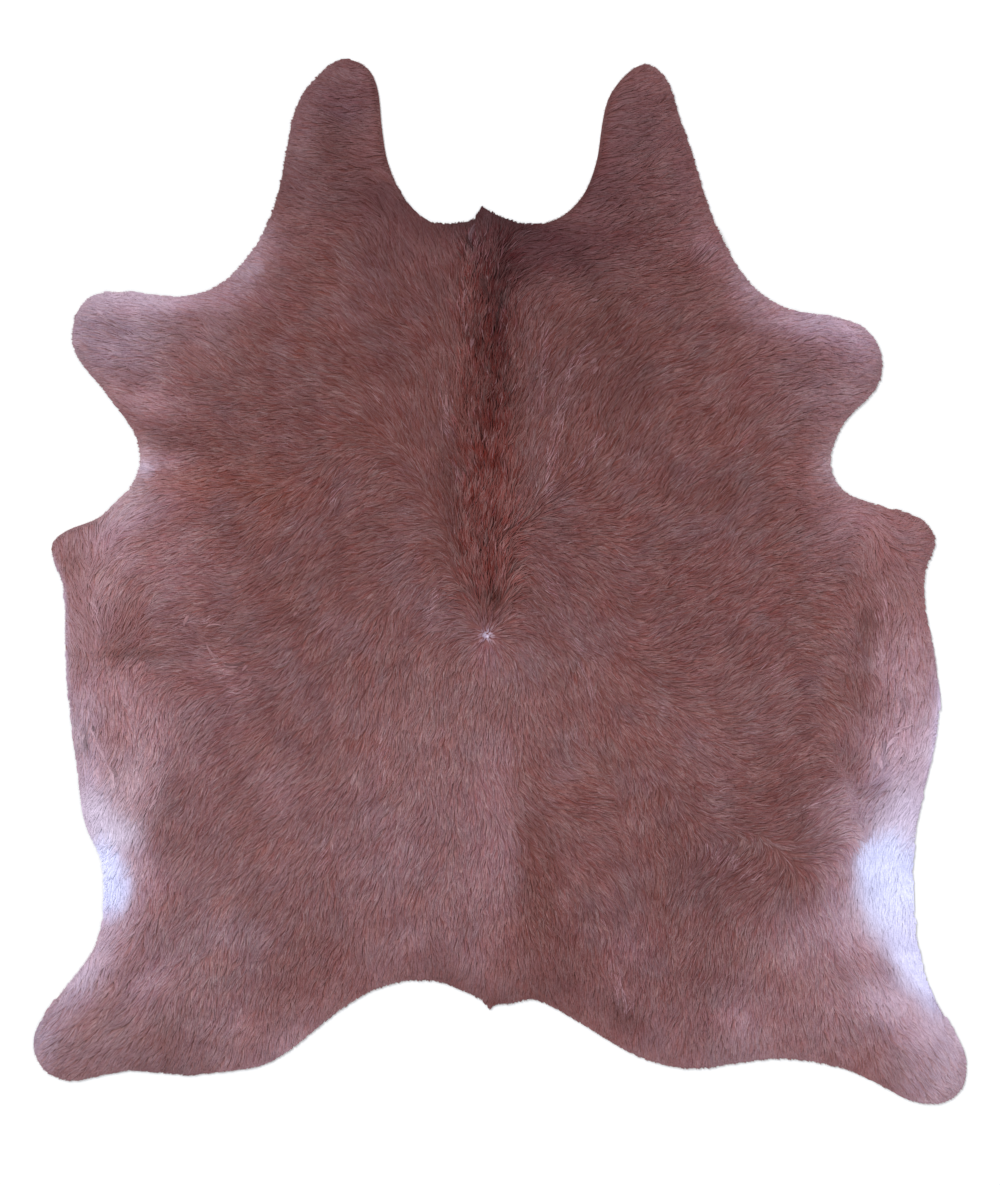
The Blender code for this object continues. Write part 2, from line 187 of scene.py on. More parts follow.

# Soft patches that tint the coat, each over those before it; a few of them are painted shade along creases
# and folds:
# name, across, along, half across, half along, turn in degrees, red, green, blue, strength, hardness of edge.
PATCHES = (
    ("upper back", 0, 330, 560, 300, 0, 113, 73, 69, 0.9, 2),
    ("upper back right", 200, 500, 150, 170, 0, 95, 59, 56, 0.75, 2),
    ("upper back left", -205, 480, 90, 100, 0, 96, 60, 58, 0.6, 2),
    ("middle left", -300, -40, 110, 90, 0, 126, 84, 80, 0.5, 2),
    ("middle right", 210, -60, 150, 130, 0, 106, 65, 62, 0.55, 2),
    ("bottom right", 300, -860, 80, 60, 0, 126, 92, 96, 0.6, 2),
    ("left neck lobe", -320, 890, 90, 150, 0, 92, 60, 59, 0.8, 2),
    ("right neck lobe", 280, 890, 90, 150, 0, 95, 63, 64, 0.9, 2),
    ("left neck lobe tip", -340, 985, 90, 60, 0, 98, 68, 72, 0.6, 2),
    ("left neck lobe smudge", -312, 940, 30, 24, 0, 92, 62, 68, 0.6, 2),
    ("left neck lobe root", -220, 745, 90, 56, -30, 76, 43, 44, 0.75, 2),
    ("left neck, low", -214, 668, 56, 56, 0, 92, 57, 56, 0.75, 2),
    ("right neck lobe root", 190, 790, 56, 70, 0, 84, 50, 52, 0.75, 2),
    ("right neck lobe side", 372, 800, 36, 90, 15, 98, 66, 68, 0.7, 2),
    ("left neck lobe side", -420, 815, 36, 56, -15, 98, 68, 69, 0.7, 2),
    ("left neck lobe tip, outer", -402, 912, 34, 40, 0, 128, 100, 104, 0.5, 2),
    ("left neck root fringe", -512, 628, 34, 74, -38, 154, 128, 136, 0.8, 2),
    ("right neck root smudge", 418, 672, 40, 50, 24, 134, 98, 103, 0.7, 2),
    ("right neck root fringe", 486, 580, 24, 50, 35, 140, 106, 113, 0.5, 2),
    ("left foreleg fringe", -680, 562, 150, 26, 4, 158, 122, 130, 0.85, 2),
    ("left foreleg lobe", -745, 480, 110, 60, -12, 149, 128, 139, 0.85, 2),
    ("left foreleg middle", -630, 460, 110, 70, 0, 134, 102, 103, 0.7, 2),
    ("left foreleg, rear", -690, 362, 76, 42, 0, 152, 118, 122, 0.75, 2),
    ("left armpit brown", -650, 300, 60, 34, 0, 112, 74, 72, 0.6, 2),
    ("left armpit pale", -690, 238, 62, 24, 0, 168, 134, 140, 0.85, 2),
    ("left armpit white", -706, 224, 18, 16, 12, 194, 178, 200, 0.85, 3),
    ("left armpit red", -620, 190, 80, 40, 0, 140, 86, 77, 0.7, 2),
    ("left back red", -500, 160, 110, 60, 10, 127, 77, 69, 0.8, 2),
    ("left shoulder side, pale", -640, 40, 90, 110, 0, 147, 106, 107, 0.8, 2),
    ("right foreleg lobe", 690, 420, 90, 90, 0, 124, 96, 100, 0.8, 2),
    ("right foreleg lilac", 700, 486, 60, 34, -20, 130, 103, 116, 0.8, 2),
    ("right foreleg fringe", 590, 505, 90, 26, -14, 140, 106, 115, 0.75, 2),
    ("right foreleg shade", 572, 462, 34, 50, 0, 106, 68, 63, 0.5, 2),
    ("right armpit dot", 666, 198, 8, 12, 0, 196, 172, 190, 0.8, 3),
    ("right foreleg middle", 600, 440, 90, 80, 0, 128, 93, 96, 0.6, 2),
    ("right armpit", 640, 200, 60, 50, 0, 128, 82, 79, 0.6, 2),
    ("right armpit, below", 700, 118, 56, 44, 0, 150, 115, 119, 0.65, 2),
    ("left belly corner", -800, 30, 110, 100, 0, 157, 122, 124, 0.8, 2),
    ("left belly corner pale", -730, 125, 90, 30, 28, 168, 132, 140, 0.7, 2),
    ("left belly corner tip", -862, 34, 40, 60, 0, 118, 78, 76, 0.85, 2),
    ("left flank", -740, -240, 90, 130, 0, 161, 121, 124, 0.85, 2),
    ("left flank, low", -732, -405, 66, 110, -12, 178, 150, 158, 0.9, 2),
    ("left flank, inner", -600, -370, 50, 60, 0, 142, 105, 107, 0.6, 2),
    # Painted shade: the dark band along the left flank crease.
    ("left flank crease", -735, -140, 70, 15, -3, 116, 72, 66, 0.6, 2),
    ("left flank fringe", -822, -300, 26, 130, -5, 166, 132, 139, 0.85, 2),
    ("left belly lilac", -822, -384, 34, 66, 8, 173, 148, 163, 0.85, 3),
    # Painted shade in the left belly fold.
    ("left belly fold", -828, -318, 6, 30, 8, 126, 86, 86, 0.6, 2),
    # Painted shade along the slanted crease of the left belly.
    ("left belly slant dark", -640, -440, 12, 44, -42, 108, 70, 68, 0.5, 2),
    ("left belly slant", -640, -430, 20, 44, -42, 118, 78, 76, 0.4, 2),
    ("right belly corner", 800, 70, 110, 90, 0, 130, 89, 90, 0.7, 2),
    ("right flank", 790, -70, 90, 150, 0, 138, 101, 100, 0.7, 2),
    ("right flank shade", 735, -75, 34, 60, 10, 109, 69, 67, 0.6, 2),
    ("right flank fringe", 872, -262, 17, 95, 0, 156, 130, 142, 0.85, 2),
    ("left back lilac", -560, -220, 90, 110, 0, 140, 103, 106, 0.7, 2),
    ("left side, low", -450, -430, 110, 80, 0, 142, 106, 108, 0.6, 2),
    ("middle of the rump", -120, -300, 230, 160, 0, 141, 104, 103, 0.75, 2),
    ("lower rump left", -150, -560, 200, 190, 0, 138, 104, 107, 0.85, 2),
    ("lower rump pink", -22, -520, 50, 210, 0, 143, 106, 109, 0.75, 4),
    ("rump dark column", 74, -600, 44, 220, 0, 108, 67, 62, 0.8, 4),
    ("rump right", 230, -330, 120, 200, 0, 121, 80, 76, 0.6, 2),
    ("right belly", 520, -270, 140, 100, 0, 126, 91, 90, 0.6, 2),
    ("right belly, low", 690, -476, 46, 84, 0, 162, 130, 137, 0.85, 2),
    ("right thigh", 430, -560, 150, 120, 0, 108, 71, 69, 0.8, 2),
    ("rump, right of the dark column", 258, -730, 50, 50, 0, 138, 100, 105, 0.6, 2),
    ("left thigh", -500, -560, 160, 110, 0, 138, 101, 101, 0.7, 2),
    ("left thigh, outer", -664, -606, 48, 60, 0, 152, 117, 121, 0.6, 2),
    ("left thigh blotch", -480, -640, 34, 50, 18, 104, 66, 62, 0.6, 2),
    ("left thigh upper blotch", -550, -530, 34, 34, 0, 112, 72, 68, 0.6, 2),
    ("left thigh lilac", -570, -720, 110, 110, 0, 146, 118, 123, 0.7, 2),
    ("left hind leg, inner", -536, -868, 64, 46, 0, 148, 117, 122, 0.75, 2),
    ("left hind leg", -760, -880, 170, 90, 25, 139, 110, 111, 0.8, 2),
    ("left hind leg brown", -640, -950, 90, 44, 0, 118, 82, 80, 0.7, 2),
    ("left white patch, round", -780, -600, 84, 110, 4, 186, 156, 168, 0.8, 3),
    ("left white patch, above", -806, -466, 54, 56, 10, 202, 188, 207, 0.85, 2.4),
    ("left white patch, fade", -764, -508, 50, 38, 0, 207, 196, 216, 0.85, 2.4),
    ("left white patch", -794, -591, 52, 80, 4, 204, 207, 241, 1.0, 5),
    ("left hind leg edge", -700, -800, 50, 80, -40, 160, 126, 136, 0.6, 2),
    ("right hind leg", 620, -800, 160, 110, -25, 147, 112, 115, 0.8, 2),
    ("right thigh lilac", 620, -700, 60, 60, 0, 142, 112, 120, 0.6, 2),
    ("right hind leg, inner", 474, -866, 76, 44, 0, 150, 115, 121, 0.75, 2),
    ("right hind leg, pale", 786, -846, 76, 56, -20, 180, 156, 171, 0.9, 2),
    ("right hind leg, pale outer", 856, -900, 50, 50, 0, 186, 162, 177, 0.7, 2),
    ("right hind leg, under the white", 690, -716, 56, 50, -30, 168, 138, 148, 0.75, 2),
    ("right hind leg tip", 880, -985, 90, 80, 0, 153, 131, 140, 0.85, 2),
    ("right flank pale", 806, -230, 58, 120, 0, 168, 134, 142, 0.8, 2),
    ("right flank curl", 786, -338, 50, 62, 0, 176, 148, 162, 0.8, 2),
    ("right white patch, round", 800, -640, 122, 140, 10, 178, 150, 162, 0.75, 3),
    ("right white patch, inner", 694, -655, 34, 54, 8, 188, 166, 181, 0.45, 2),
    ("right white patch, above", 812, -492, 80, 108, -4, 198, 184, 206, 0.9, 2.4),
    ("right white patch corner", 772, -562, 54, 50, 0, 203, 206, 240, 1.0, 5),
    ("right white patch", 806, -616, 90, 102, 12, 206, 209, 240, 1.0, 5),
    ("right white tail", 842, -764, 54, 118, 31, 208, 207, 238, 1.0, 3.2),
    ("rump edge dark", 250, -870, 60, 36, -30, 94, 60, 57, 0.7, 2),
    ("rump, left of the tail", -142, -776, 60, 40, 0, 104, 72, 74, 0.65, 2),
    ("tail root dark", 120, -730, 60, 60, 0, 110, 70, 67, 0.7, 2),
    ("tail root right", 108, -822, 56, 34, 0, 94, 60, 59, 0.75, 2),
    ("neck left of the spine", -110, 610, 70, 110, 0, 94, 58, 56, 0.7, 2),
    ("right of the spine, low", 104, 30, 56, 150, 0, 104, 66, 65, 0.7, 2),
    ("dark neck, far", 250, 690, 110, 70, 0, 92, 57, 58, 0.6, 2),
    ("dark neck, wide", 104, 676, 116, 62, -6, 74, 40, 42, 0.92, 3),
    ("dark neck", 14, 640, 56, 100, 0, 60, 28, 32, 0.92, 2),
    ("spine", -22, 430, 48, 240, 0, 84, 42, 40, 0.8, 3),
    ("spine head", -34, 676, 44, 56, 0, 84, 48, 50, 0.75, 2),
    ("spine core upper", 0, 530, 22, 150, 2, 62, 31, 32, 0.8, 2),
    ("spine core", -24, 380, 24, 120, 0, 74, 37, 34, 0.7, 2),
    ("spine left brown", -90, 190, 42, 150, 0, 88, 50, 47, 0.75, 2),
    ("spine low", -20, 120, 32, 190, 0, 103, 55, 51, 0.75, 2),
    ("whorl tuft", -10, -36, 13, 18, 0, 72, 32, 26, 0.9, 2),
    ("whorl glow", -27, -130, 26, 40, 0, 148, 108, 114, 0.6, 2),
)

# The hair is shorter and paler towards the cut edge. Stretches of it that differ more:
# name, across, along, half length, how far in it reaches, red, green, blue.
EDGES = (
    ("right foreleg front", 655, 520, 95, 42, 174, 150, 164),
    ("right armpit", 665, 225, 80, 44, 150, 124, 129),
    ("right flank", 852, -350, 80, 52, 192, 172, 188),
    ("right leg outer", 905, -915, 60, 60, 176, 155, 169),
    ("right leg, behind", 470, -950, 120, 50, 128, 101, 105),
    ("left leg, behind", -440, -935, 110, 50, 141, 112, 118),
    ("left leg outer", -830, -780, 110, 52, 186, 167, 184),
    ("left flank", -846, -290, 80, 45, 160, 138, 148),
    ("left belly corner", -750, 180, 90, 50, 170, 144, 150),
    ("left foreleg front", -755, 565, 115, 46, 182, 163, 177),
    ("neck hollow", -40, 718, 150, 48, 58, 31, 33),
    ("rump hollow", 0, -822, 150, 46, 102, 66, 64),
    ("left leg tip", -915, -910, 60, 50, 146, 130, 143),
    ("left neck root", -496, 688, 46, 38, 152, 125, 132),
    ("right neck root", 515, 580, 70, 28, 160, 132, 140),
    ("left sole", -670, -965, 90, 44, 104, 76, 78),
    ("left belly edge", -852, -100, 70, 44, 150, 118, 121),
)
EDGE_REACH = 45 * MM
EDGE_PALER = (1.3, 1.5, 1.57)
EDGE_STRENGTH = 0.9

# How far the patches' edges wander, and from which size of patch on they do so in full.
WANDER_BROAD = 0.011
WANDER_MIDDLING = 0.006
WANDER_FULL = 30
# What the red and the lilac mottles do to the coat's colour, how much shade the creases paint into it and
# light onto its ridges, and the depth at which that is full.
MOTTLE_RED = (1.62, 0.64, 0.53)
MOTTLE_LILAC = (1.62, 1.0, 1.1)
MOTTLE_STRENGTH = 0.36
CREASE_PAINTED_SHADE = 0.22
CREASE_FULL = 0.0018

# Tufts that lie lighter than the coat around them, partly paler hair and partly a painted sheen of lit
# strands:
# name, across and along of both ends, half width, how much lighter.
PALE_TUFTS = (
    ("neck swirl", -62, 700, -50, 640, 8, 0.5),
    ("withers left", -76, 570, -64, 500, 7, 0.35),
    ("left of the spine", -108, 372, -98, 280, 8, 0.55),
    ("left of the spine lower", -92, 240, -78, 180, 8, 0.35),
    ("right of the spine upper", 92, 540, 80, 330, 7, 0.45),
    ("right of the spine", 126, 376, 88, 160, 12, 0.55),
    ("right shoulder", 206, 300, 150, 215, 9, 0.45),
    ("right shoulder upper", 176, 470, 128, 400, 9, 0.35),
    ("right shoulder outer", 300, 330, 262, 250, 8, 0.3),
    ("right shoulder edge", 500, 300, 462, 250, 9, 0.35),
    ("left of the whorl", -124, -14, -146, -96, 8, 0.55),
    ("right of the whorl", 94, 8, 124, -84, 8, 0.4),
    ("right of the whorl lower", 150, -100, 190, -240, 10, 0.35),
    ("left back", -306, 204, -344, 152, 9, 0.4),
    ("left back lower", -330, -60, -372, -130, 10, 0.35),
    ("left back arc", -632, -82, -566, -74, 7, 0.5),
    ("left back streaks", -560, -130, -530, -240, 14, 0.35),
    ("left flank seam", -812, -30, -802, -130, 9, 0.5),
    ("left flank corner", -760, 40, -700, 70, 14, 0.35),
    ("right belly waves", 420, -525, 520, -600, 16, 0.4),
    ("right belly upper", 500, -160, 560, -200, 12, 0.3),
    ("right flank curl", 800, -230, 812, -320, 12, 0.45),
    ("right flank strands", 770, 0, 762, -190, 10, 0.35),
    ("right thigh", 600, -470, 660, -420, 12, 0.35),
    ("left thigh", -690, -420, -720, -480, 12, 0.35),
    ("rump left", -214, -250, -250, -420, 16, 0.3),
    ("rump left lower", -330, -480, -372, -610, 14, 0.3),
    ("right hind leg", 700, -810, 860, -960, 22, 0.3),
    ("tail right", 220, -760, 260, -860, 12, 0.35),
)
# The lavender of pale hair, which also paints the sheen of lit strands.
PALE_HAIR_AND_SHEEN_COLOUR = (176, 140, 152)

# Wisps that lie on the coat along a curve. Each has a name, how many hairs, how far they spread to each side,
# how much lighter they are (darker below 0), and the places that they run through.
# Darker wisps that run along the folds in CREASES paint the shade in them, and lighter ones along its ridges
# paint their lit crests as paler hair.
WISPS = (
    ("right flank curl", 26, 2.5, 1.0, ((806, -312), (791, -315), (778, -325), (771, -338), (773, -346))),
    ("right flank curl ridge", 20, 2, 1.3, ((764, -349), (761, -357), (763, -368), (765, -378))),
    ("right flank curl dark", 12, 2, -0.28, ((767, -312), (768, -334), (767, -346))),
    ("right flank curl dark end", 8, 2, -0.24, ((774, -356), (776, -372))),
    ("right flank curl inside", 12, 3, 0.7, ((798, -326), (797, -338), (791, -349), (784, -358))),
    ("right flank curl middle", 8, 2, -0.2, ((810, -340), (806, -356), (800, -368))),
    ("right flank curl outside", 14, 3, 0.8,
        ((826, -314), (829, -332), (825, -346), (816, -364), (808, -374))),
    ("right flank curl far", 10, 4, 0.6, ((846, -302), (838, -326), (836, -350), (824, -376))),
    ("right flank curl over", 14, 3, 0.7, ((836, -278), (826, -284), (812, -292), (796, -296), (784, -308))),
    ("right flank notch", 8, 3, -0.26, ((812, -226), (820, -250), (819, -258))),
    ("right flank notch, left", 8, 2, -0.22, ((797, -268), (796, -284))),
    ("right flank strand", 8, 2, 0.8, ((800, -246), (799, -262), (797, -282))),
    ("left belly ridge top", 12, 2, 0.8, ((-822, -288), (-815, -300), (-808, -316))),
    ("left belly ridge", 30, 3.5, 0.8, ((-810, -314), (-798, -338), (-787, -364))),
    ("left belly ridge end", 30, 2.5, 1.4, ((-788, -360), (-777, -382), (-772, -400), (-776, -424))),
    ("left belly dark top", 10, 1.5, -0.6, ((-816, -284), (-811, -302))),
    ("left belly left ridge", 10, 2, 0.8, ((-832, -302), (-836, -322))),
    ("left belly dark", 14, 2, -0.4, ((-828, -312), (-832, -330), (-820, -338))),
    ("left belly shade", 10, 3, -0.3, ((-780, -372), (-766, -392))),
    ("left belly slant", 40, 4, 0.9, ((-665, -373), (-680, -412), (-698, -451), (-715, -473), (-728, -501))),
    ("neck swirl", 14, 2, 0.7, ((-44, 719), (-56, 706), (-62, 690), (-56, 675))),
    ("neck swirl dark", 12, 3, -0.5, ((-64, 700), (-62, 680), (-54, 660))),
    ("spine hair 1", 4, 1, 1.0, ((-65, 595), (-70, 576), (-75, 560))),
    ("spine hair 2", 4, 1, 0.9, ((-62, 534), (-65, 512), (-70, 496))),
    ("spine hair 3", 4, 1, 0.9, ((-55, 490), (-57, 461))),
    ("spine dark wave", 14, 3, -0.5, ((4, 604), (0, 560), (-9, 528), (-8, 486))),
    ("spine dark left", 12, 4, -0.4, ((-41, 617), (-25, 566))),
    ("right of the spine", 18, 4, 0.6, ((96, 524), (84, 500), (83, 439), (80, 407), (77, 359))),
    ("right of the spine, low", 18, 5, 0.6, ((128, 352), (115, 323), (96, 285))),
    ("right shoulder v", 10, 2, 0.8, ((195, 448), (179, 435))),
    ("right shoulder v, low", 10, 2, 0.8, ((198, 432), (185, 413))),
    ("right shoulder small", 5, 1, 0.8, ((198, 566), (182, 561))),
    ("left of the spine, 1", 8, 2, 0.7, ((-107, 378), (-105, 343))),
    ("left of the spine, 2", 8, 2, 0.7, ((-119, 336), (-114, 285))),
    ("left back arc", 10, 2, 0.9, ((-619, -67), (-629, -77), (-634, -90))),
    ("left back arc, right", 10, 1.5, 0.8, ((-591, -90), (-570, -85), (-547, -90))),
    ("left back short", 6, 1.5, 0.7, ((-537, -110), (-552, -123))),
    ("left back lilac", 10, 3, 0.6, ((-588, -120), (-578, -146), (-560, -156))),
    ("left back dark bow", 10, 1.5, -0.4, ((-560, -163), (-537, -168), (-517, -163), (-502, -158))),
    ("left back pale bow", 8, 1.5, 0.5, ((-560, -167), (-537, -173), (-516, -168))),
    ("left back tick", 8, 1.5, 0.8, ((-504, -166), (-517, -181))),
    ("left back drop", 6, 3, 0.4, ((-494, -184), (-500, -198), (-512, -214))),
    ("left back pair, right", 5, 3, 0.4, ((-526, -228), (-538, -252), (-554, -276))),
    ("left back pair, left", 5, 3, 0.4, ((-542, -236), (-556, -260), (-574, -280))),
    ("left back far", 8, 2, 0.6, ((-404, -59), (-415, -72))),
)

# Where the hair that turns over the cut edge is pale at its tips:
# name, across, along, half across, half along, how much.
EDGE_TINTS = (
    ("left flank edge", -880, -110, 70, 150, 0.45),
    ("right flank edge", 872, -300, 70, 100, 0.85),
)
EDGE_TINT_COLOUR = (206, 196, 224)
EDGE_TINT_DEPTH = 7 * MM

# Soft troughs where the coat parts or the skin creases, and small ridges, which have a depth below 0:
# name, across and along of both ends, half width, depth.
# Besides lowering the coat, a crease's depth paints shade into its trough and light onto a ridge, in mottled.
CREASES = (
    ("left flank crease", -800, -140, -670, -147, 10, 1.8),
    ("left belly fold", -834, -290, -822, -348, 6, 2.0),
    ("left belly ridge", -820, -300, -788, -357, 4, -1.6),
    ("left belly ridge end", -790, -350, -773, -412, 4, -1.6),
    ("left belly slant", -726, -474, -636, -376, 12, 1.2),
    ("left belly slant ridge", -738, -462, -650, -364, 5, -1.2),
    ("right flank curl dark", 771, -334, 768, -374, 4, 1.8),
    ("right flank curl ridge", 760, -350, 764, -378, 4, -1.5),
    ("right flank crease", 800, -210, 812, -270, 8, 1.5),
    ("right flank upper crease", 712, -66, 762, -92, 8, 1.1),
    ("right flank fold", 728, -60, 738, -220, 10, 1.4),
    ("neck wrinkle", 380, 638, 424, 668, 6, 1.3),
    ("left neck wrinkle", -470, 650, -380, 596, 5, 0.9),
    ("spine parting", -100, 207, -12, 212, 6, 2.2),
    ("spine parting, low", -122, 38, -56, 36, 5, 1.2),
    ("neck swirl", -52, 716, -70, 664, 5, 1.6),
)

# The stage and the camera. The photo is 1000 by 1185 pixels, and one of them is 2 mm.
FLOOR_HALF = 30
FLOOR_TOP = -0.0004
FLOOR_COLOUR = (0.92, 0.92, 0.92, 1)
SKY_COLOUR = (0.96, 0.97, 1.0, 1)
SKY_STRENGTH = 0.76
KEY_STRENGTH = 1.98
KEY_ANGLE = math.radians(34)
KEY_DIRECTION = (1.0, -1.0, -1.25)
LENS = 85
SENSOR = 36
FRAME_HIGH = 1185 * 2.0 * MM
FRAME_MIDDLE = -22 * MM
COAT_MIDDLE = 0.006


def linear(value):
    """A screen colour from 0 to 255 as light."""
    c = np.asarray(value, float) / 255
    return np.where(c > 0.04045, ((c + 0.055) / 1.055) ** 2.4, c / 12.92)


def step(x, low, high):
    """0 below low, 1 above high, smooth between."""
    t = np.clip((x - low) / (high - low), 0, 1)
    return t * t * (3 - 2 * t)


def towards(colour, aim, share):
    """The colour moved towards another one, by a share from 0 to 1 for each place."""
    return colour + share[..., None] * (aim - colour)


def read_grid(grid, u, v, ease=False):
    """The grid's value at column u and row v, blended between its nodes."""
    u = np.clip(u, 0, grid.shape[1] - 1.001)
    v = np.clip(v, 0, grid.shape[0] - 1.001)
    i = u.astype(int)
    j = v.astype(int)
    s = u - i
    t = v - j
    if ease:
        s = s * s * (3 - 2 * s)
        t = t * t * (3 - 2 * t)
    near = grid[j, i] * (1 - s) + grid[j, i + 1] * s
    far = grid[j + 1, i] * (1 - s) + grid[j + 1, i + 1] * s
    return near * (1 - t) + far * t


class Field:
    """Values on an even grid over the hide, read smoothly between its nodes."""

    def __init__(self, grid, values):
        self.left, self.low, self.pitch = grid[:3]
        self.values = values

    def at(self, x, y):
        return read_grid(self.values, (x - self.left) / self.pitch, (y - self.low) / self.pitch)


def grid_lines(left, low, pitch, columns, rows):
    """Where a grid's columns and rows are."""
    return left + pitch * np.arange(columns), low + pitch * np.arange(rows)


def waves(rng, size):
    """A smooth uneven field from -1 to 1 whose swells are about size metres across."""
    rows, columns = (int(span / size) + 4 for span in WAVES_SPAN)
    knots = rng.uniform(-1, 1, (rows, columns))
    return lambda x, y: read_grid(knots, (x - WAVES_LEFT) / size, (y - WAVES_LOW) / size, ease=True)


def solid_of(node):
    """The node's corner points, doubles merged, and its triangles."""
    mesh = node.data
    mesh.calc_loop_triangles()
    co = np.empty(len(mesh.vertices) * 3)
    mesh.vertices.foreach_get("co", co)
    tri = np.empty(len(mesh.loop_triangles) * 3, np.int32)
    mesh.loop_triangles.foreach_get("vertices", tri)
    points, place = np.unique(np.round(co.reshape(-1, 3), 5), axis=0, return_inverse=True)
    return points, place.ravel()[tri].reshape(-1, 3)


def cut_edge(points, faces):
    """The outline of the underside as one loop, left side first, round to the right as seen from below."""
    a, b, c = (points[faces[:, k]] for k in range(3))
    normal = np.cross(b - a, c - a)
    down = faces[normal[:, 2] < -0.5 * np.linalg.norm(normal, axis=1)]
    sides = {(int(t[k]), int(t[(k + 1) % 3])) for t in down for k in range(3)}
    after = {p: q for p, q in sides if (q, p) not in sides}
    at = min(after)
    loop = []
    while at in after:
        loop.append(at)
        at = after.pop(at)
    ring = points[loop, :2]
    turn = np.cross(ring, np.roll(ring, -1, axis=0)).sum()
    return ring if turn > 0 else ring[::-1]


def edge_field(ring):
    """How far inside the outline each place is, in metres, less than 0 outside."""
    xs, ys = grid_lines(*EDGE_GRID)
    ends = np.roll(ring, -1, axis=0)
    run = ends - ring
    length = (run**2).sum(1)
    out = np.empty((len(ys), len(xs)))
    rise = np.where(np.abs(run[:, 1]) < TINY, TINY, run[:, 1])
    for j, y in enumerate(ys):
        dx = xs[:, None] - ring[:, 0]
        dy = y - ring[:, 1]
        t = np.clip((dx * run[:, 0] + dy * run[:, 1]) / length, 0, 1)
        gap = np.sqrt(((dx - t * run[:, 0]) ** 2 + (dy - t * run[:, 1]) ** 2).min(1))
        spans = (ring[:, 1] > y) != (ends[:, 1] > y)
        cross = ring[:, 0] + dy / rise * run[:, 0]
        inside = (spans & (xs[:, None] < cross)).sum(1) % 2 == 1
        out[j] = np.where(inside, gap, -gap)
    return Field(EDGE_GRID, out)


def heights(points, faces):
    """The solid's upper and lower face over the hide, carried a little past its outline."""
    tree = BVHTree.FromPolygons([tuple(p) for p in points], [tuple(int(k) for k in f) for f in faces])
    xs, ys = grid_lines(*HEIGHT_GRID)
    grids = np.full((2, len(ys), len(xs)), np.nan)
    for j, i in np.ndindex(grids.shape[1:]):
        top = tree.ray_cast(Vector((xs[i], ys[j], WELL_CLEAR)), Vector((0, 0, -1)))[0]
        if top is not None:
            low = tree.ray_cast(Vector((xs[i], ys[j], -WELL_CLEAR)), Vector((0, 0, 1)))[0]
            grids[:, j, i] = top.z, low.z
    for grid in grids:
        for _ in range(HEIGHT_STEPS_PAST):
            wide = np.pad(grid, 1, constant_values=np.nan)
            beside = np.stack([wide[1:-1, :-2], wide[1:-1, 2:], wide[:-2, 1:-1], wide[2:, 1:-1]])
            known = ~np.isnan(beside)
            mean = np.where(known, beside, 0).sum(0) / np.maximum(known.sum(0), 1)
            fill = np.isnan(grid) & known.any(0)
            grid[fill] = mean[fill]
        grid[np.isnan(grid)] = 0.0
    return [Field(HEIGHT_GRID, grid) for grid in grids]


def comb_field():
    """The hair's heading on a grid, as its cosine and sine, from the comb strokes and the whorl."""
    x, y = np.meshgrid(*grid_lines(*COMB_GRID))
    ahead, aside, total = np.zeros((3, *x.shape))
    for across, along, heading in (stroke for group in COMB.values() for stroke in group):
        gap = (x - across * MM) ** 2 + (y - along * MM) ** 2
        weight = 1 / (gap + COMB_REACH**2) ** 2
        ahead += weight * math.cos(math.radians(heading))
        aside += weight * math.sin(math.radians(heading))
        total += weight
    away = np.arctan2(y - WHORL_Y, x - WHORL_X)
    near = at_whorl(x, y, WHORL_REACH)
    ahead = ahead / total * (1 - near) + np.cos(away) * near
    aside = aside / total * (1 - near) + np.sin(away) * near
    return Field(COMB_GRID, ahead), Field(COMB_GRID, aside)


def at_whorl(x, y, reach):
    """1 at the whorl's middle, fading to 0 round it."""
    return np.exp(-((np.hypot(x - WHORL_X, y - WHORL_Y) / reach) ** 2))


def whiteness(colour):
    """0 where the hair is brown, 1 where it is white, by how much blue its colour has."""
    return step(colour[:, 2], 0.2, 0.55)


def coat_colour(x, y):
    """The coat's colour as light at each place, from the named patches."""
    colour = np.repeat(linear(COAT_COLOUR)[None, :], len(x), axis=0)
    wander_x = WANDER_BROAD * broad(x, y) + WANDER_MIDDLING * middling(x, y)
    wander_y = WANDER_BROAD * broad(y, x) + WANDER_MIDDLING * middling(y, x)
    for _name, across, along, half_x, half_y, turn, red, green, blue, strength, hard in PATCHES:
        small = min(1.0, min(half_x, half_y) / WANDER_FULL) ** 2
        dx = x + wander_x * small - across * MM
        dy = y + wander_y * small - along * MM
        c = math.cos(math.radians(turn))
        s = math.sin(math.radians(turn))
        u = (dx * c + dy * s) / (half_x * MM)
        v = (-dx * s + dy * c) / (half_y * MM)
        share = strength * np.exp(-((u * u + v * v) ** (hard / 2)))
        colour = towards(colour, linear((red, green, blue)), share)
    inside = np.maximum(inside_at.at(x, y), 0)
    brown = 1 - step(colour[:, 2], 0.35, 0.7)
    paler = (0.28 - 0.24 * step(y, 0.6, 0.75)) * np.exp(-((inside / EDGE_REACH) ** 2)) * brown
    colour = colour * (1 + paler[:, None] * (np.array(EDGE_PALER) - 1))
    for _name, across, along, half, reach, red, green, blue in EDGES:
        gap = ((x - across * MM) ** 2 + (y - along * MM) ** 2) / (half * MM) ** 2
        share = EDGE_STRENGTH * np.exp(-gap - (inside / (reach * MM)) ** 2) * brown
        colour = towards(colour, linear((red, green, blue)), share)
    return colour


def near_edge(x, y):
    """1 at the cut edge, where the hair is short and smooth, to 0 well inside."""
    return 1 - step(inside_at.at(x, y), 0.03, 0.16)


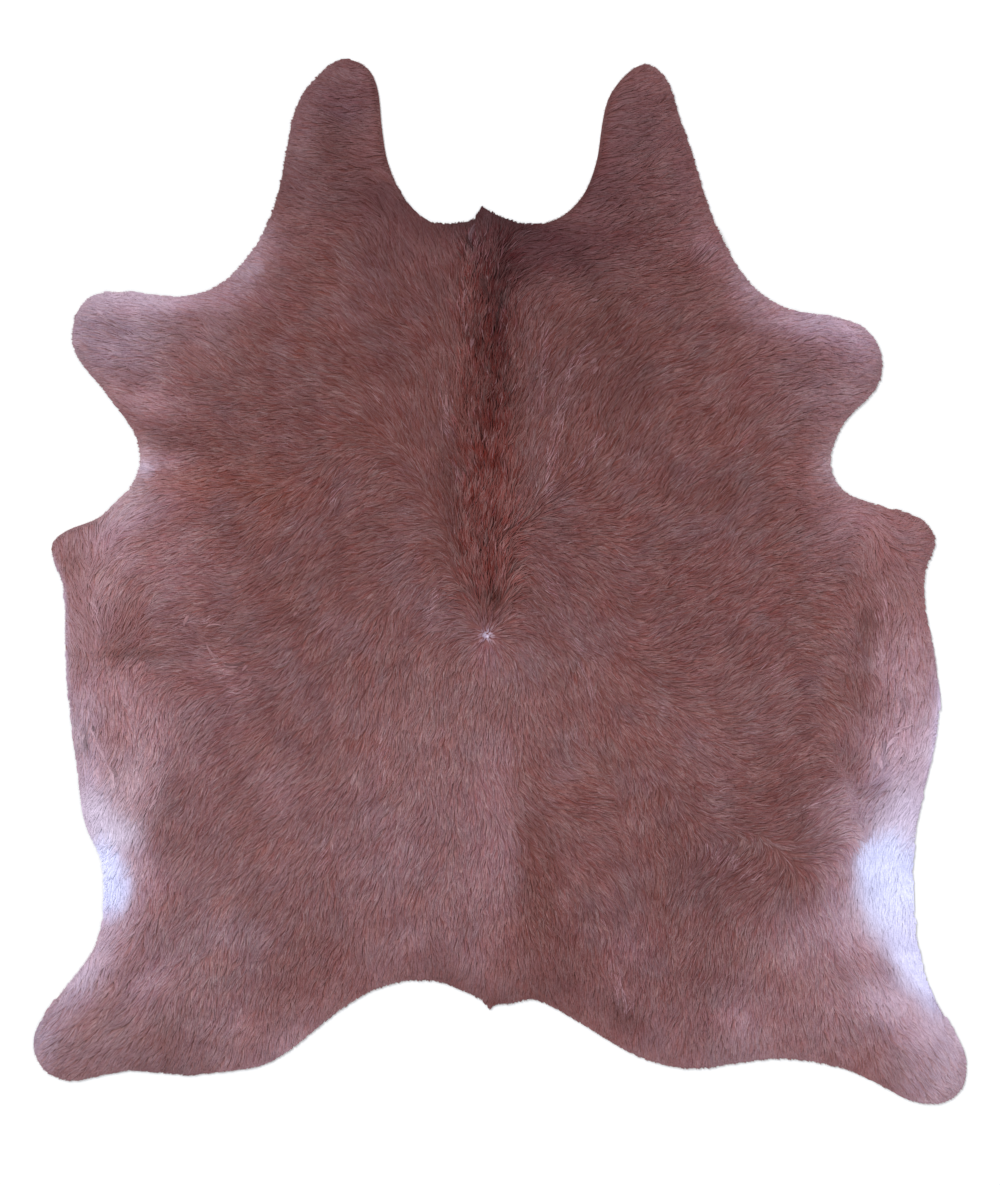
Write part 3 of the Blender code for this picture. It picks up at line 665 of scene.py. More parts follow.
def mottled(colour, x, y):
    """The coat's colour, softly uneven: redder here, lilac there, with painted shade in creases and painted
    light on ridges.
    """
    brown = 1 - whiteness(colour)
    red = np.clip(mottle_red(x, y) + 0.6 * middling(y, x), 0, 1) * brown * (1 - 0.75 * near_edge(x, y))
    red = red * (1 - 0.7 * step(colour[:, 0], 0.22, 0.4))
    lilac = np.clip(mottle_grey(x, y) + 0.6 * middling(-x, y), 0, 1) * brown * step(colour[:, 0], 0.08, 0.2)
    light = 1 + brown * (0.07 * mottle_light(x, y) + 0.08 * middling(x, y) + 0.06 * fine(x, y))
    # Painted shade in the creases and painted light on the ridges, by how far the coat dips or rises there.
    light = light * (1 - CREASE_PAINTED_SHADE * np.clip(crease_depth(x, y) / CREASE_FULL, -1, 1.4))
    colour = colour * light[:, None]
    bright = colour.mean(1, keepdims=True)
    colour = towards(colour, bright * np.array(MOTTLE_RED), MOTTLE_STRENGTH * red)
    return towards(colour, bright * np.array(MOTTLE_LILAC), MOTTLE_STRENGTH * lilac)


def near_line(x, y, x0, y0, x1, y1, half):
    """1 on the line between two places, fading to 0 beside it and softly at its ends. All in millimetres."""
    ax, ay, bx, by = (v * MM for v in (x0, y0, x1, y1))
    run = (bx - ax) ** 2 + (by - ay) ** 2
    t = ((x - ax) * (bx - ax) + (y - ay) * (by - ay)) / run
    kept = np.clip(t, 0, 1)
    gap = np.hypot(x - ax - kept * (bx - ax), y - ay - kept * (by - ay))
    ends = step(t, -0.12, 0.2) * (1 - step(t, 0.8, 1.12))
    return ends * np.exp(-((gap / (half * MM)) ** 2))


def tuft_share(x, y):
    """How much of the hair is pale at each place, as paler hair and painted sheen."""
    return np.max([row[-1] * near_line(x, y, *row[1:-1]) for row in PALE_TUFTS], axis=0)


def crease_depth(x, y):
    """How far the coat dips at each place, in metres."""
    return sum(row[-1] * MM * near_line(x, y, *row[1:-1]) for row in CREASES)


def lean_at(x, y):
    """The hair's heading from root to tip, in radians: the comb's, with small waves."""
    angle = np.arctan2(heading_s.at(x, y), heading_c.at(x, y))
    return angle + math.radians(12) * lean_broad(x, y) + math.radians(17) * lean_fine(x, y)


def spine_share(x, y):
    """1 on the tufted spine, 0 off it."""
    across = 1 - step(np.abs(x - SPINE_ACROSS), SPINE_HALF_WIDTH * 0.75, SPINE_HALF_WIDTH * 1.25)
    whorl_end = step(y, SPINE_WHORL_END, SPINE_WHORL_END + 0.07)
    neck_end = 1 - step(y, SPINE_NECK_END - 0.05, SPINE_NECK_END)
    return across * (whorl_end * neck_end)


def staggered(xs, ys, pitch):
    """Rows of places, every second row moved along by half a pitch."""
    x, y = np.meshgrid(xs, ys)
    return x + (np.arange(len(ys)) % 2)[:, None] * pitch * 0.5, y


def grow_points(pitch, rng):
    """Jittered places over the whole hide, pitch apart."""
    x, y = staggered(np.arange(-0.94, 0.94, pitch), np.arange(-1.055, 1.055, pitch * ROW_STEP), pitch)
    x = x + rng.uniform(-0.42, 0.42, x.shape) * pitch
    y = y + rng.uniform(-0.42, 0.42, y.shape) * pitch
    return x.ravel(), y.ravel()


class Clumps:
    """Tufts of hair whose tips lean together. Each has its own middle, heading, tone and lift."""

    def __init__(self, rng):
        self.low = (-1.0, -1.12)
        self.shape = (int(2.24 / CLUMP_PITCH) + 1, int(2.0 / CLUMP_PITCH) + 1)
        j, i = np.indices(self.shape)
        self.x = self.low[0] + (i + rng.uniform(0.05, 0.95, self.shape)) * CLUMP_PITCH
        self.y = self.low[1] + (j + rng.uniform(0.05, 0.95, self.shape)) * CLUMP_PITCH
        turn = rng.normal(0, math.radians(10), self.shape)
        self.heading = lean_at(self.x.ravel(), self.y.ravel()).reshape(self.shape) + turn
        self.tone = rng.normal(0, 1, self.shape)
        self.lift = rng.uniform(0, 1, self.shape)

    def of(self, x, y):
        """For each place, its tuft's row and column, and how far it is across that tuft."""
        column = ((x - self.low[0]) / CLUMP_PITCH).astype(int)
        row = ((y - self.low[1]) / CLUMP_PITCH).astype(int)
        best = np.full(len(x), np.inf)
        kept = [np.zeros(len(x), int), np.zeros(len(x), int), np.zeros(len(x))]
        for dj in range(-2, 3):
            for di in range(-2, 3):
                j = np.clip(row + dj, 0, self.shape[0] - 1)
                i = np.clip(column + di, 0, self.shape[1] - 1)
                dx = x - self.x[j, i]
                dy = y - self.y[j, i]
                c = np.cos(self.heading[j, i])
                s = np.sin(self.heading[j, i])
                across = dy * c - dx * s
                far = ((dx * c + dy * s) / CLUMP_HALF_LENGTH) ** 2 + (across / CLUMP_HALF_WIDTH) ** 2
                better = far < best
                best[better] = far[better]
                for store, value in zip(kept, (j, i, across)):
                    store[better] = value[better]
        return kept


def set_layer(mesh, name, kind, values):
    """One value for each of the mesh's corner points."""
    layer = mesh.attributes.new(name, kind, "POINT")
    field = "color" if kind == "FLOAT_COLOR" else "vector"
    layer.data.foreach_set(field, values.reshape(-1).astype(np.float32))


def set_uv(mesh, u, v):
    layer = mesh.uv_layers.new(name="OFBake")
    layer.uv.foreach_set("vector", np.stack([u, v], 1).reshape(-1).astype(np.float32))


def add_object(name, data):
    made = bpy.data.objects.new(name, data)
    bpy.context.scene.collection.objects.link(made)
    return made


# The kinds of closed lock. Each has its triangles, the place of each corner in its patch of the UV map, and
# how far each corner's normal leans to the left, so that a lock shades as round from above.
# Corners: root, left, right, tip. The ridge from root to tip stands over the line from left to right.
SHORT_LOCK = (
    [(0, 2, 3), (0, 3, 1), (0, 1, 2), (3, 2, 1)],
    [(0.5, 0.06), (0.08, 0.45), (0.92, 0.45), (0.5, 0.94)],
    (0, 0.36, -0.36, 0),
)
# Corners: root, left, right, top, tip.
ARCHED_LOCK = (
    [(0, 2, 3), (0, 3, 1), (0, 1, 2), (2, 4, 3), (3, 4, 1), (1, 4, 2)],
    [(0.5, 0.06), (0.08, 0.45), (0.92, 0.45), (0.5, 0.5), (0.5, 0.94)],
    (0, 0.4, -0.4, 0, 0),
)
# Corners: root, left, right, top, then left, right, top further on, then the tip.
LONG_LOCK = (
    [
        (0, 2, 3), (0, 3, 1), (0, 1, 2),
        (2, 5, 6), (2, 6, 3), (3, 6, 4), (3, 4, 1), (1, 4, 5), (1, 5, 2),
        (5, 7, 6), (6, 7, 4), (4, 7, 5),
    ],
    [
        (0.5, 0.06), (0.08, 0.34), (0.92, 0.34), (0.5, 0.34),
        (0.12, 0.66), (0.88, 0.66), (0.5, 0.66), (0.5, 0.94),
    ],
    (0, 0.75, -0.75, 0, 0.75, -0.75, 0, 0),
)


def hair_piece(name, made, lock, material):
    """One object of many alike closed locks. made holds their corner points, colours and strand values."""
    points, colour, values = made
    pattern, uv, rounding = (np.array(part) for part in lock)
    count, corners = points.shape[:2]
    faces = (np.arange(count)[:, None, None] * corners + pattern).reshape(-1, 3)
    mesh = bpy.data.meshes.new(name)
    mesh.vertices.add(count * corners)
    mesh.vertices.foreach_set("co", points.reshape(-1).astype(np.float32))
    mesh.loops.add(faces.size)
    mesh.loops.foreach_set("vertex_index", faces.reshape(-1).astype(np.int32))
    mesh.polygons.add(len(faces))
    mesh.polygons.foreach_set("loop_start", np.arange(0, faces.size, 3, dtype=np.int32))
    mesh.update(calc_edges=True)
    mesh.shade_smooth()
    mesh.materials.append(material)
    set_layer(mesh, "coat", "FLOAT_COLOR", colour)
    set_layer(mesh, "strand", "FLOAT_VECTOR", values)
    corner = np.tile(pattern.ravel(), count)
    patch = np.repeat(np.arange(count), pattern.size)
    columns = max(1, int(math.sqrt(count * 2.2)))
    rows = -(-count // columns)
    set_uv(mesh, (patch % columns + uv[corner, 0]) / columns, (patch // columns + uv[corner, 1]) / rows)
    along = points[:, -1] - points[:, 0]
    along /= np.linalg.norm(along, axis=1)[:, None]
    left = np.stack([-along[:, 1], along[:, 0], np.zeros(count)], 1)
    left /= np.linalg.norm(left, axis=1)[:, None]
    up = np.cross(along, left)
    lean = rounding[None, :, None]
    normals = up[:, None] * np.sqrt(1 - lean**2) + left[:, None] * lean
    mesh.normals_split_custom_set_from_vertices(normals.reshape(-1, 3).astype(np.float32))
    return add_object(name, mesh)


def held_in(x, y, heading, length, over):
    """The length that keeps each tip within over past the outline."""
    for _ in range(3):
        out = -inside_at.at(x + length * np.cos(heading), y + length * np.sin(heading)) - over
        length = np.where(out > 0, np.maximum(length - out * 1.15, 0.006), length)
    return length


def strand(random, tone, along):
    """Per corner: the lock's own chance value, how far along it the corner is, and its tuft's tone, which for
    the coats' locks also holds painted shade between tufts.
    """
    out = np.empty((len(random), len(along), 3))
    out[:, :, 0] = random[:, None]
    out[:, :, 1] = along
    out[:, :, 2] = tone[:, None]
    return out


def coloured(colour, corners):
    """The lock's colour at each of its corners."""
    out = np.ones((len(colour), corners, 4))
    out[:, :, :3] = colour[:, None]
    return out


def edge_tinted(shown, points):
    """Makes the last millimetres of the hair before the outline pale, along the stretches in EDGE_TINTS."""
    x = points[:, :, 0]
    y = points[:, :, 1]
    last = np.exp(-((np.maximum(inside_at.at(x, y), 0) / EDGE_TINT_DEPTH) ** 2))
    for _name, across, along, half_x, half_y, much in EDGE_TINTS:
        near = ((x - across * MM) / (half_x * MM)) ** 2 + ((y - along * MM) / (half_y * MM)) ** 2
        shown[:, :, :3] = towards(shown[:, :, :3], linear(EDGE_TINT_COLOUR), much * last * np.exp(-near))


def beside(x, y, z, c, s, off=0.0):
    """Corner points at places, moved off to the left of headings whose cosine is c and sine s."""
    return np.stack([x - s * off, y + c * off, z], -1)


def long_points(x, y, z, c, s, half):
    """The corners of long locks. Each value is a list: at the root, both rings and the tip."""
    points = [beside(x[0], y[0], z[0], c[0], s[0])]
    for k in (1, 2):
        for side, rise in ((1, -0.55), (-1, -0.55), (0, 0.35)):
            points.append(beside(x[k], y[k], z[k] + rise * half[k], c[k], s[k], side * half[k]))
    points.append(beside(x[3], y[3], z[3], c[3], s[3]))
    return np.stack(points, 1)


def common(x, y, rng):
    """What every lock has from its tuft: heading, how far across it is and how deep in it, tone and lift."""
    row, column, across = clumps.of(x, y)
    heading = lean_at(x, y) + rng.normal(0, math.radians(6), len(x))
    turn = clumps.heading[row, column] - heading
    heading = heading + np.arctan2(np.sin(turn), np.cos(turn)) * 0.75
    core = np.exp(-((across / (CLUMP_HALF_WIDTH * 0.62)) ** 2))
    return heading, across, core, clumps.tone[row, column], clumps.lift[row, column]


def short_coat(x, y, rng, coat):
    """The locks of the under coat or the guard hairs: corner points, colours and strand values."""
    heading, across, core, tone, lift = common(x, y, rng)
    count = len(x)
    guard = coat is GUARD
    white = whiteness(coat_colour(x, y))
    loose = (0.25 + 0.75 * step(inside_at.at(x, y), 0.02, 0.20)) * (1 - 0.8 * white)
    calm = np.maximum(white, 0.75 * near_edge(x, y))
    length = coat.length * (1 + 0.18 * broad(x, y)) * rng.uniform(0.7, 1.25, count)
    length = length * (1 - 0.6 * at_whorl(x, y, WHORL_SHORT))
    if guard:
        heading = heading + loose * rng.normal(0, math.radians(8), count)
    length = held_in(x, y, heading, length, rng.uniform(-0.0010, 0.0010, count))
    width = coat.width * rng.uniform(0.65, 1.3, count) * np.clip(length / 0.024, 0.6, 1)
    width = width * (1 + 1.2 * at_whorl(x, y, WHORL_WIDE) + 0.8 * calm)
    c = np.cos(heading)
    s = np.sin(heading)
    back = 0.45 * length * at_whorl(x, y, WHORL_BACK)
    seen = 0.5 - 0.45 * at_whorl(x, y, WHORL_SEEN)
    x = x - back * c
    y = y - back * s
    free = step(inside_at.at(x, y), 0, 0.03)
    pull = np.clip(length / coat.length, 0, 1) * CLUMP_PULL * across * (1 - white) * free
    tip_x = x + length * c + pull * s
    tip_y = y + length * s - pull * c
    top = upper_at.at(tip_x, tip_y) - crease_depth(tip_x, tip_y)
    bed = lower_at.at(x, y) + SKIN_THICKNESS
    uneven = coat.core * core + coat.lift * lift * core - coat.lower * rng.uniform(0, 1, count)
    high = coat.high + coat.calm * calm + loose * uneven
    root_z = bed + coat.root * (top - bed) - coat.sunk
    tip_z = bed + (top - bed) * high
    mid_x = x + coat.part * (tip_x - x)
    mid_y = y + coat.part * (tip_y - y)
    root_z = root_z + 0.55 * calm * (top - bed) * (0.3 + 0.7 * high)
    mid_z = root_z + coat.part * (tip_z - root_z) - 0.14 * width * (1 - 0.7 * white)
    lowest = bed - SUNK_MOST
    mid_z = np.maximum(mid_z, lowest)
    room = mid_z - lowest
    roll = np.clip(rng.normal(0, 0.08, count) * width, -room, room)
    half = np.minimum(width / 2, np.maximum(inside_at.at(mid_x, mid_y) + SIDE_PAST, SIDE_PAST))
    points = np.stack([
        beside(x, y, root_z, c, s),
        beside(mid_x, mid_y, mid_z + roll, c, s, half),
        beside(mid_x, mid_y, mid_z - roll, c, s, -half),
        beside(tip_x, tip_y, tip_z, c, s),
    ], 1)
    see_x = x + seen * (tip_x - x)
    see_y = y + seen * (tip_y - y)
    colour = mottled(coat_colour(see_x, see_y), see_x, see_y)
    white = whiteness(colour)
    chance = rng.uniform(0, 1, count)
    pale = tuft_share(see_x, see_y)
    # Some guard hairs are pale, in the pale tufts and at random: paler hair, and partly a painted sheen of
    # lit strands.
    if guard:
        drawn = rng.uniform(0, 1, count)
        pale = np.clip(0.62 * (drawn < 1.1 * pale) + 0.26 * (drawn > 0.88) * loose, 0, 0.8)
    else:
        pale = 0.2 * pale
    # Painted shade on the under coat and a painted highlight on the guard hairs, from the coat's tint.
    colour = colour * np.array(coat.shade) ** (1 - white[:, None])
    colour = towards(colour, 0.5 * linear(PALE_HAIR_AND_SHEEN_COLOUR) + 0.7 * colour, pale * (1 - white))
    # The tuft's tone, with painted shade: lighter in a tuft's middle and darker between tufts.
    tone_with_gap_shade = 0.5 + (0.13 * tone + 0.12 * (core - 0.5)) * (1 - 0.85 * white) * (0.5 + 0.5 * loose)
    chance = 0.5 + (chance - 0.5) * (1 - 0.8 * white) * (0.5 + 0.5 * loose) * (1 - 0.3 * calm)
    values = strand(chance, tone_with_gap_shade, (0.0, coat.part, coat.part, 1.0))
    # Less of the painted root shade where the hair is white or calm.
    values[:, :, 1] = 0.6 + (values[:, :, 1] - 0.6) * (1 - 0.92 * white)[:, None] * (1 - 0.35 * calm)[:, None]
    shown = coloured(colour, 4)
    dot = WHORL_DOT_STRENGTH * at_whorl(points[:, :, 0], points[:, :, 1], WHORL_DOT)
    shown[:, :, :3] = towards(shown[:, :, :3], linear(WHORL_DOT_COLOUR), dot)
    edge_tinted(shown, points)
    return points, shown, values


def long_coat(x, y, rng):
    """The longer, lifted and waved locks of the spine."""
    heading, across, core, tone, lift = common(x, y, rng)
    count = len(x)
    length = SPINE_LENGTH * rng.uniform(0.75, 1.25, count)
    length = held_in(x, y, heading, length, 0.002)
    width = SPINE_WIDTH * rng.uniform(0.7, 1.3, count)
    c = np.cos(heading)
    s = np.sin(heading)
    free = step(inside_at.at(x, y), 0.01, 0.06)
    bend = (0.16 * rng.normal(0, 1, count) + 0.30 * np.sin(y * 210 + 3 * lean_fine(x, y))) * length * free
    pull = CLUMP_PULL * across * free
    top = upper_at.at(x + length * c, y + length * s) - crease_depth(x, y)
    bed = lower_at.at(x, y) + SKIN_THICKNESS
    reach = (top - bed) * (0.62 + 0.22 * core + 0.16 * lift * core)
    stations = [(x, y, bed - UNDER.sunk, 0)]
    for along, wide, high, sway in ((0.34, 1.0, 0.52, 0.55), (0.68, 0.8, 0.9, 0.9), (1.0, 0, 0.86, 0.55)):
        off = bend * sway * along - pull * along
        place_x = x + length * along * c - off * s
        place_y = y + length * along * s + off * c
        stations.append((place_x, place_y, bed + reach * high, width * wide / 2))
    xs, ys, zs, halves = zip(*stations)
    points = long_points(xs, ys, zs, [c] * 4, [s] * 4, halves)
    see_x = x + 0.5 * length * c
    see_y = y + 0.5 * length * s
    colour = coat_colour(see_x, see_y)
    uneven = 1 + 0.17 * middling(see_x * 1.6, see_y) + 0.17 * fine(see_x * 1.3, see_y * 0.8)
    colour = colour * uneven[:, None]
    pale = 0.45 * (rng.uniform(0, 1, count) < 0.05 + tuft_share(see_x, see_y))
    colour = towards(colour, 0.4 * linear(PALE_HAIR_AND_SHEEN_COLOUR) + 0.7 * colour, pale)
    # The tuft's tone, with painted shade: lighter in a tuft's middle and darker between tufts.
    tone_with_gap_shade = 0.5 + 0.3 * tone + 0.3 * (core - 0.5)
    along = (0.0, 0.34, 0.34, 0.34, 0.68, 0.68, 0.68, 1.0)
    return points, coloured(colour, 8), strand(rng.uniform(0, 1, count), tone_with_gap_shade, along)


def wisp_locks(rng):
    """Hairs that lie together along a curve, on top of the coat."""
    made = []
    for _name, count, spread, lighter, places in WISPS:
        path = np.array(places) * MM
        for _cut in range(2):
            a, b = path[:-1], path[1:]
            cut = np.stack([0.75 * a + 0.25 * b, 0.25 * a + 0.75 * b], 1).reshape(-1, 2)
            path = np.concatenate([path[:1], cut, path[-1:]])
        reach = np.concatenate([[0], np.cumsum(np.hypot(*np.diff(path, axis=0).T))])
        for _hair in range(count):
            own = min(reach[-1], rng.uniform(0.020, 0.034)) * rng.uniform(0.75, 1)
            start = rng.uniform(0, max(reach[-1] - own, 0.0005))
            off = rng.normal(0, 0.8) * spread * MM
            sway = rng.normal(0, 0.7) * MM
            at = start + own * np.array((0, 0.34, 0.68, 1))
            x = np.interp(at, reach, path[:, 0])
            y = np.interp(at, reach, path[:, 1])
            dx, dy = np.gradient(x), np.gradient(y)
            size = np.hypot(dx, dy)
            c, s = dx / size, dy / size
            across = off * np.array((1, 1, 0.85, 0.5)) + sway * np.array((0, 0.8, 0.9, 0))
            x = x - s * across
            y = y + c * across
            top = upper_at.at(x, y) + rng.uniform(-0.0004, 0.0003)
            z = top + np.array((-0.0022, -0.0002, -0.0001, -0.0008))
            half = rng.uniform(0.5, 1.0) * MM * np.array((0, 1, 0.85, 0))
            made.append((x, y, z, c, s, half, np.full(4, lighter)))
    *stations, shade = np.array(made).transpose(1, 2, 0)
    points = long_points(*stations)
    shade = shade[0]
    colour = coat_colour(points[:, 3, 0], points[:, 3, 1])
    pale = 0.5 * np.clip(shade, 0, 1.4)[:, None]
    colour = colour + pale * (0.3 * linear(PALE_HAIR_AND_SHEEN_COLOUR) + 0.02 * np.array((0.2, 1.0, 1.1)))
    colour = colour * (1 + np.minimum(shade, 0))[:, None]
    along = (0.3, 0.6, 0.6, 0.6, 0.8, 0.8, 0.8, 1.0)
    tone = np.full(len(shade), 0.5)
    return points, coloured(colour, 8), strand(rng.uniform(0.3, 0.7, len(shade)), tone, along)


def rim_locks(rng):
    """Short locks that hang over the cut edge all the way round."""
    ends = np.roll(ring, -1, axis=0)
    length = np.hypot(*(ends - ring).T)
    reach = np.concatenate([[0], np.cumsum(length)])
    roots = []
    for _row in range(FRINGE_ROWS):
        at = np.arange(0, reach[-1], FRINGE_STEP)
        at = np.clip(at + rng.uniform(0, FRINGE_STEP, len(at)), 0, reach[-1] - 1e-6)
        k = np.searchsorted(reach, at, side="right") - 1
        t = (at - reach[k]) / length[k]
        roots.append(ring[k] + t[:, None] * (ends[k] - ring[k]))
    x, y = np.concatenate(roots).T
    out_x = -inward_x.at(x, y)
    out_y = -inward_y.at(x, y)
    size = np.maximum(np.hypot(out_x, out_y), 1e-6)
    out_x, out_y = out_x / size, out_y / size
    depth = rng.uniform(0.007, 0.017, len(x))
    x = x - out_x * depth
    y = y - out_y * depth
    lean = lean_at(x, y)
    side = np.where(np.cos(lean) * out_x + np.sin(lean) * out_y < 0, -1, 1)
    hx = 0.85 * out_x + 0.6 * side * np.cos(lean)
    hy = 0.85 * out_y + 0.6 * side * np.sin(lean)
    heading = np.arctan2(hy, hx) + rng.normal(0, 0.12, len(x))
    keep = inside_at.at(x, y) > 0.004
    x, y, heading = x[keep], y[keep], heading[keep]
    count = len(x)
    length = held_in(x, y, heading, np.full(count, 0.028), rng.uniform(-0.0006, 0.0014, count))
    width = RIM_WIDTH * rng.uniform(0.7, 1.2, count) * np.clip(length / 0.02, 0.6, 1)
    c = np.cos(heading)
    s = np.sin(heading)
    tip_x = x + length * c
    tip_y = y + length * s
    bed = lower_at.at(x, y) + SKIN_THICKNESS
    crown = np.maximum(upper_at.at(x, y) - rng.uniform(0.0002, 0.0016, count), bed + 0.0005)
    tip_z = np.maximum(lower_at.at(tip_x, tip_y) + rng.uniform(0.0008, 0.0024, count), 0.0006)
    mx = x + 0.45 * length * c
    my = y + 0.45 * length * s
    half = np.minimum(width / 2, np.maximum(inside_at.at(mx, my) + 0.0016, 0.0012))
    points = np.stack([
        beside(x, y, bed - 0.0005, c, s),
        beside(mx, my, crown - 0.55 * half, c, s, half),
        beside(mx, my, crown - 0.55 * half, c, s, -half),
        beside(mx, my, crown, c, s),
        beside(tip_x, tip_y, tip_z, c, s),
    ], 1)
    shown = coloured(mottled(coat_colour(x, y), x, y), 5)
    edge_tinted(shown, points)
    tone = 0.5 + 0.12 * middling(x, y)
    return points, shown, strand(rng.uniform(0, 1, count), tone, (0.0, 0.45, 0.45, 0.5, 1.0))


class Shading:
    """A new material and its nodes. Each input of a node is a value, or the socket that it is linked from."""

    def __init__(self, name):
        self.material = bpy.data.materials.new(name)
        self.material.use_nodes = True
        self.tree = self.material.node_tree

    def feed(self, made, inputs):
        for key, value in inputs.items():
            if isinstance(value, bpy.types.NodeSocket):
                self.tree.links.new(value, made.inputs[key])
            else:
                made.inputs[key].default_value = value

    def add(self, kind, inputs, **settings):
        """A node, to the right of the last one."""
        made = self.tree.nodes.new("ShaderNode" + kind)
        made.location = (180 * len(self.tree.nodes) - 4000, 0)
        for key, value in settings.items():
            setattr(made, key, value)
        self.feed(made, inputs)
        return made

    def place(self):
        """Places in the object's own metres."""
        return self.add("TexCoord", {}).outputs["Object"]

    def attribute(self, name, output):
        return self.add("Attribute", {}, attribute_name=name).outputs[output]

    def noise(self, place, scale, detail):
        return self.add("TexNoise", {"Vector": place, "Scale": scale, "Detail": detail}).outputs["Fac"]

    def maths(self, operation, *values):
        return self.add("Math", dict(enumerate(values)), operation=operation).outputs[0]

    def ranged(self, source, low, high, start=0.0, end=1.0):
        """A value between start and end, carried to the range from low to high."""
        inputs = {"Value": source, "From Min": start, "From Max": end, "To Min": low, "To Max": high}
        return self.add("MapRange", inputs).outputs["Result"]

    def ramp(self, source, *stops):
        """A colour ramp through two or three stops. Each is a place and a colour."""
        made = self.add("ValToRGB", {"Fac": source})
        elements = made.color_ramp.elements
        for k, (place, colour) in enumerate(stops):
            stop = elements[k] if k < 2 else elements.new(place)
            stop.position = place
            stop.color = (*colour, 1)
        return made.outputs["Color"]

    def product(self, a, b):
        """Two colours multiplied."""
        inputs = {"Factor": 1.0, 6: a, 7: b}
        return self.add("Mix", inputs, data_type="RGBA", blend_type="MULTIPLY").outputs[2]

    def bump(self, height, strength, distance):
        inputs = {"Height": height, "Strength": strength, "Distance": distance}
        return self.add("Bump", inputs).outputs["Normal"]

    def done(self, inputs):
        """The finished material, its shader fed."""
        self.feed(self.tree.nodes["Principled BSDF"], inputs)
        return self.material


def hair_material(name, root_painted_shade, gain, rough):
    """Hair: the coat's colour, darker and redder at the root as painted shade deep in the coat, uneven from
    lock to lock and in fine streaks.
    """
    made = Shading(name)
    place = made.place()
    chance, along, tone = made.add("SeparateXYZ", {0: made.attribute("strand", "Vector")}).outputs
    streak = made.noise(place, 330, 2)
    # The tone holds the tufts' painted shade as well as their own tone.
    value = made.maths("MULTIPLY", made.ranged(chance, 0.86, 1.15), made.ranged(tone, 0.84, 1.16))
    value = made.maths("MULTIPLY", value, made.ranged(streak, 0.82, 1.18))
    value = made.maths("MULTIPLY", value, made.ranged(made.noise(place, 17, 4), 0.86, 1.14))
    # Painted shade: the colour darkens from the tip towards the root, where the coat is deep.
    middle = [0.35 * a + 0.65 * b for a, b in zip(root_painted_shade, gain)]
    depth = made.ramp(along, (0.0, root_painted_shade), (0.9, gain), (0.45, middle))
    grey = made.add("CombineColor", {0: value, 1: value, 2: value}).outputs[0]
    colour = made.product(made.product(made.attribute("coat", "Color"), depth), grey)
    redder = made.ranged(value, 1.32, 0.74, 0.7, 1.3)
    return made.done({
        "Base Color": made.add("HueSaturation", {"Color": colour, "Saturation": redder}).outputs["Color"],
        "Roughness": made.ranged(streak, rough - 0.1, rough + 0.12),
        "Normal": made.bump(streak, 0.25, 0.0004),
        "Specular IOR Level": 0.16,
        "Sheen Weight": 0.04,
        "Sheen Roughness": 0.4,
        "Sheen Tint": (0.86, 0.84, 1.0, 1),
    })


def skin_material(name, dark, light, scale, rough, distance):
    """Bare skin: suede nap or cut fibres."""
    made = Shading(name)
    place = made.place()
    nap = made.noise(place, scale, 6)
    cloud = made.maths("MULTIPLY", made.noise(place, 9, 5), 0.55)
    grain = made.add("TexVoronoi", {"Vector": place, "Scale": scale * 0.8}).outputs["Distance"]
    blend = made.maths("MULTIPLY_ADD", nap, 0.45, cloud)
    return made.done({
        "Base Color": made.ramp(blend, (0.35, dark), (0.68, light)),
        "Roughness": made.ranged(nap, rough - 0.08, rough + 0.06),
        "Normal": made.bump(made.maths("ADD", nap, grain), 0.5, distance),
        "Specular IOR Level": 0.2,
        "Sheen Weight": 0.15,
        "Sheen Roughness": 0.6,
    })


def inset_ring(amount):
    """The outline moved inwards."""
    run = np.roll(ring, -1, axis=0) - np.roll(ring, 1, axis=0)
    run = run / np.linalg.norm(run, axis=1)[:, None]
    return np.stack([ring[:, 0] - run[:, 1] * amount, ring[:, 1] + run[:, 0] * amount], 1)


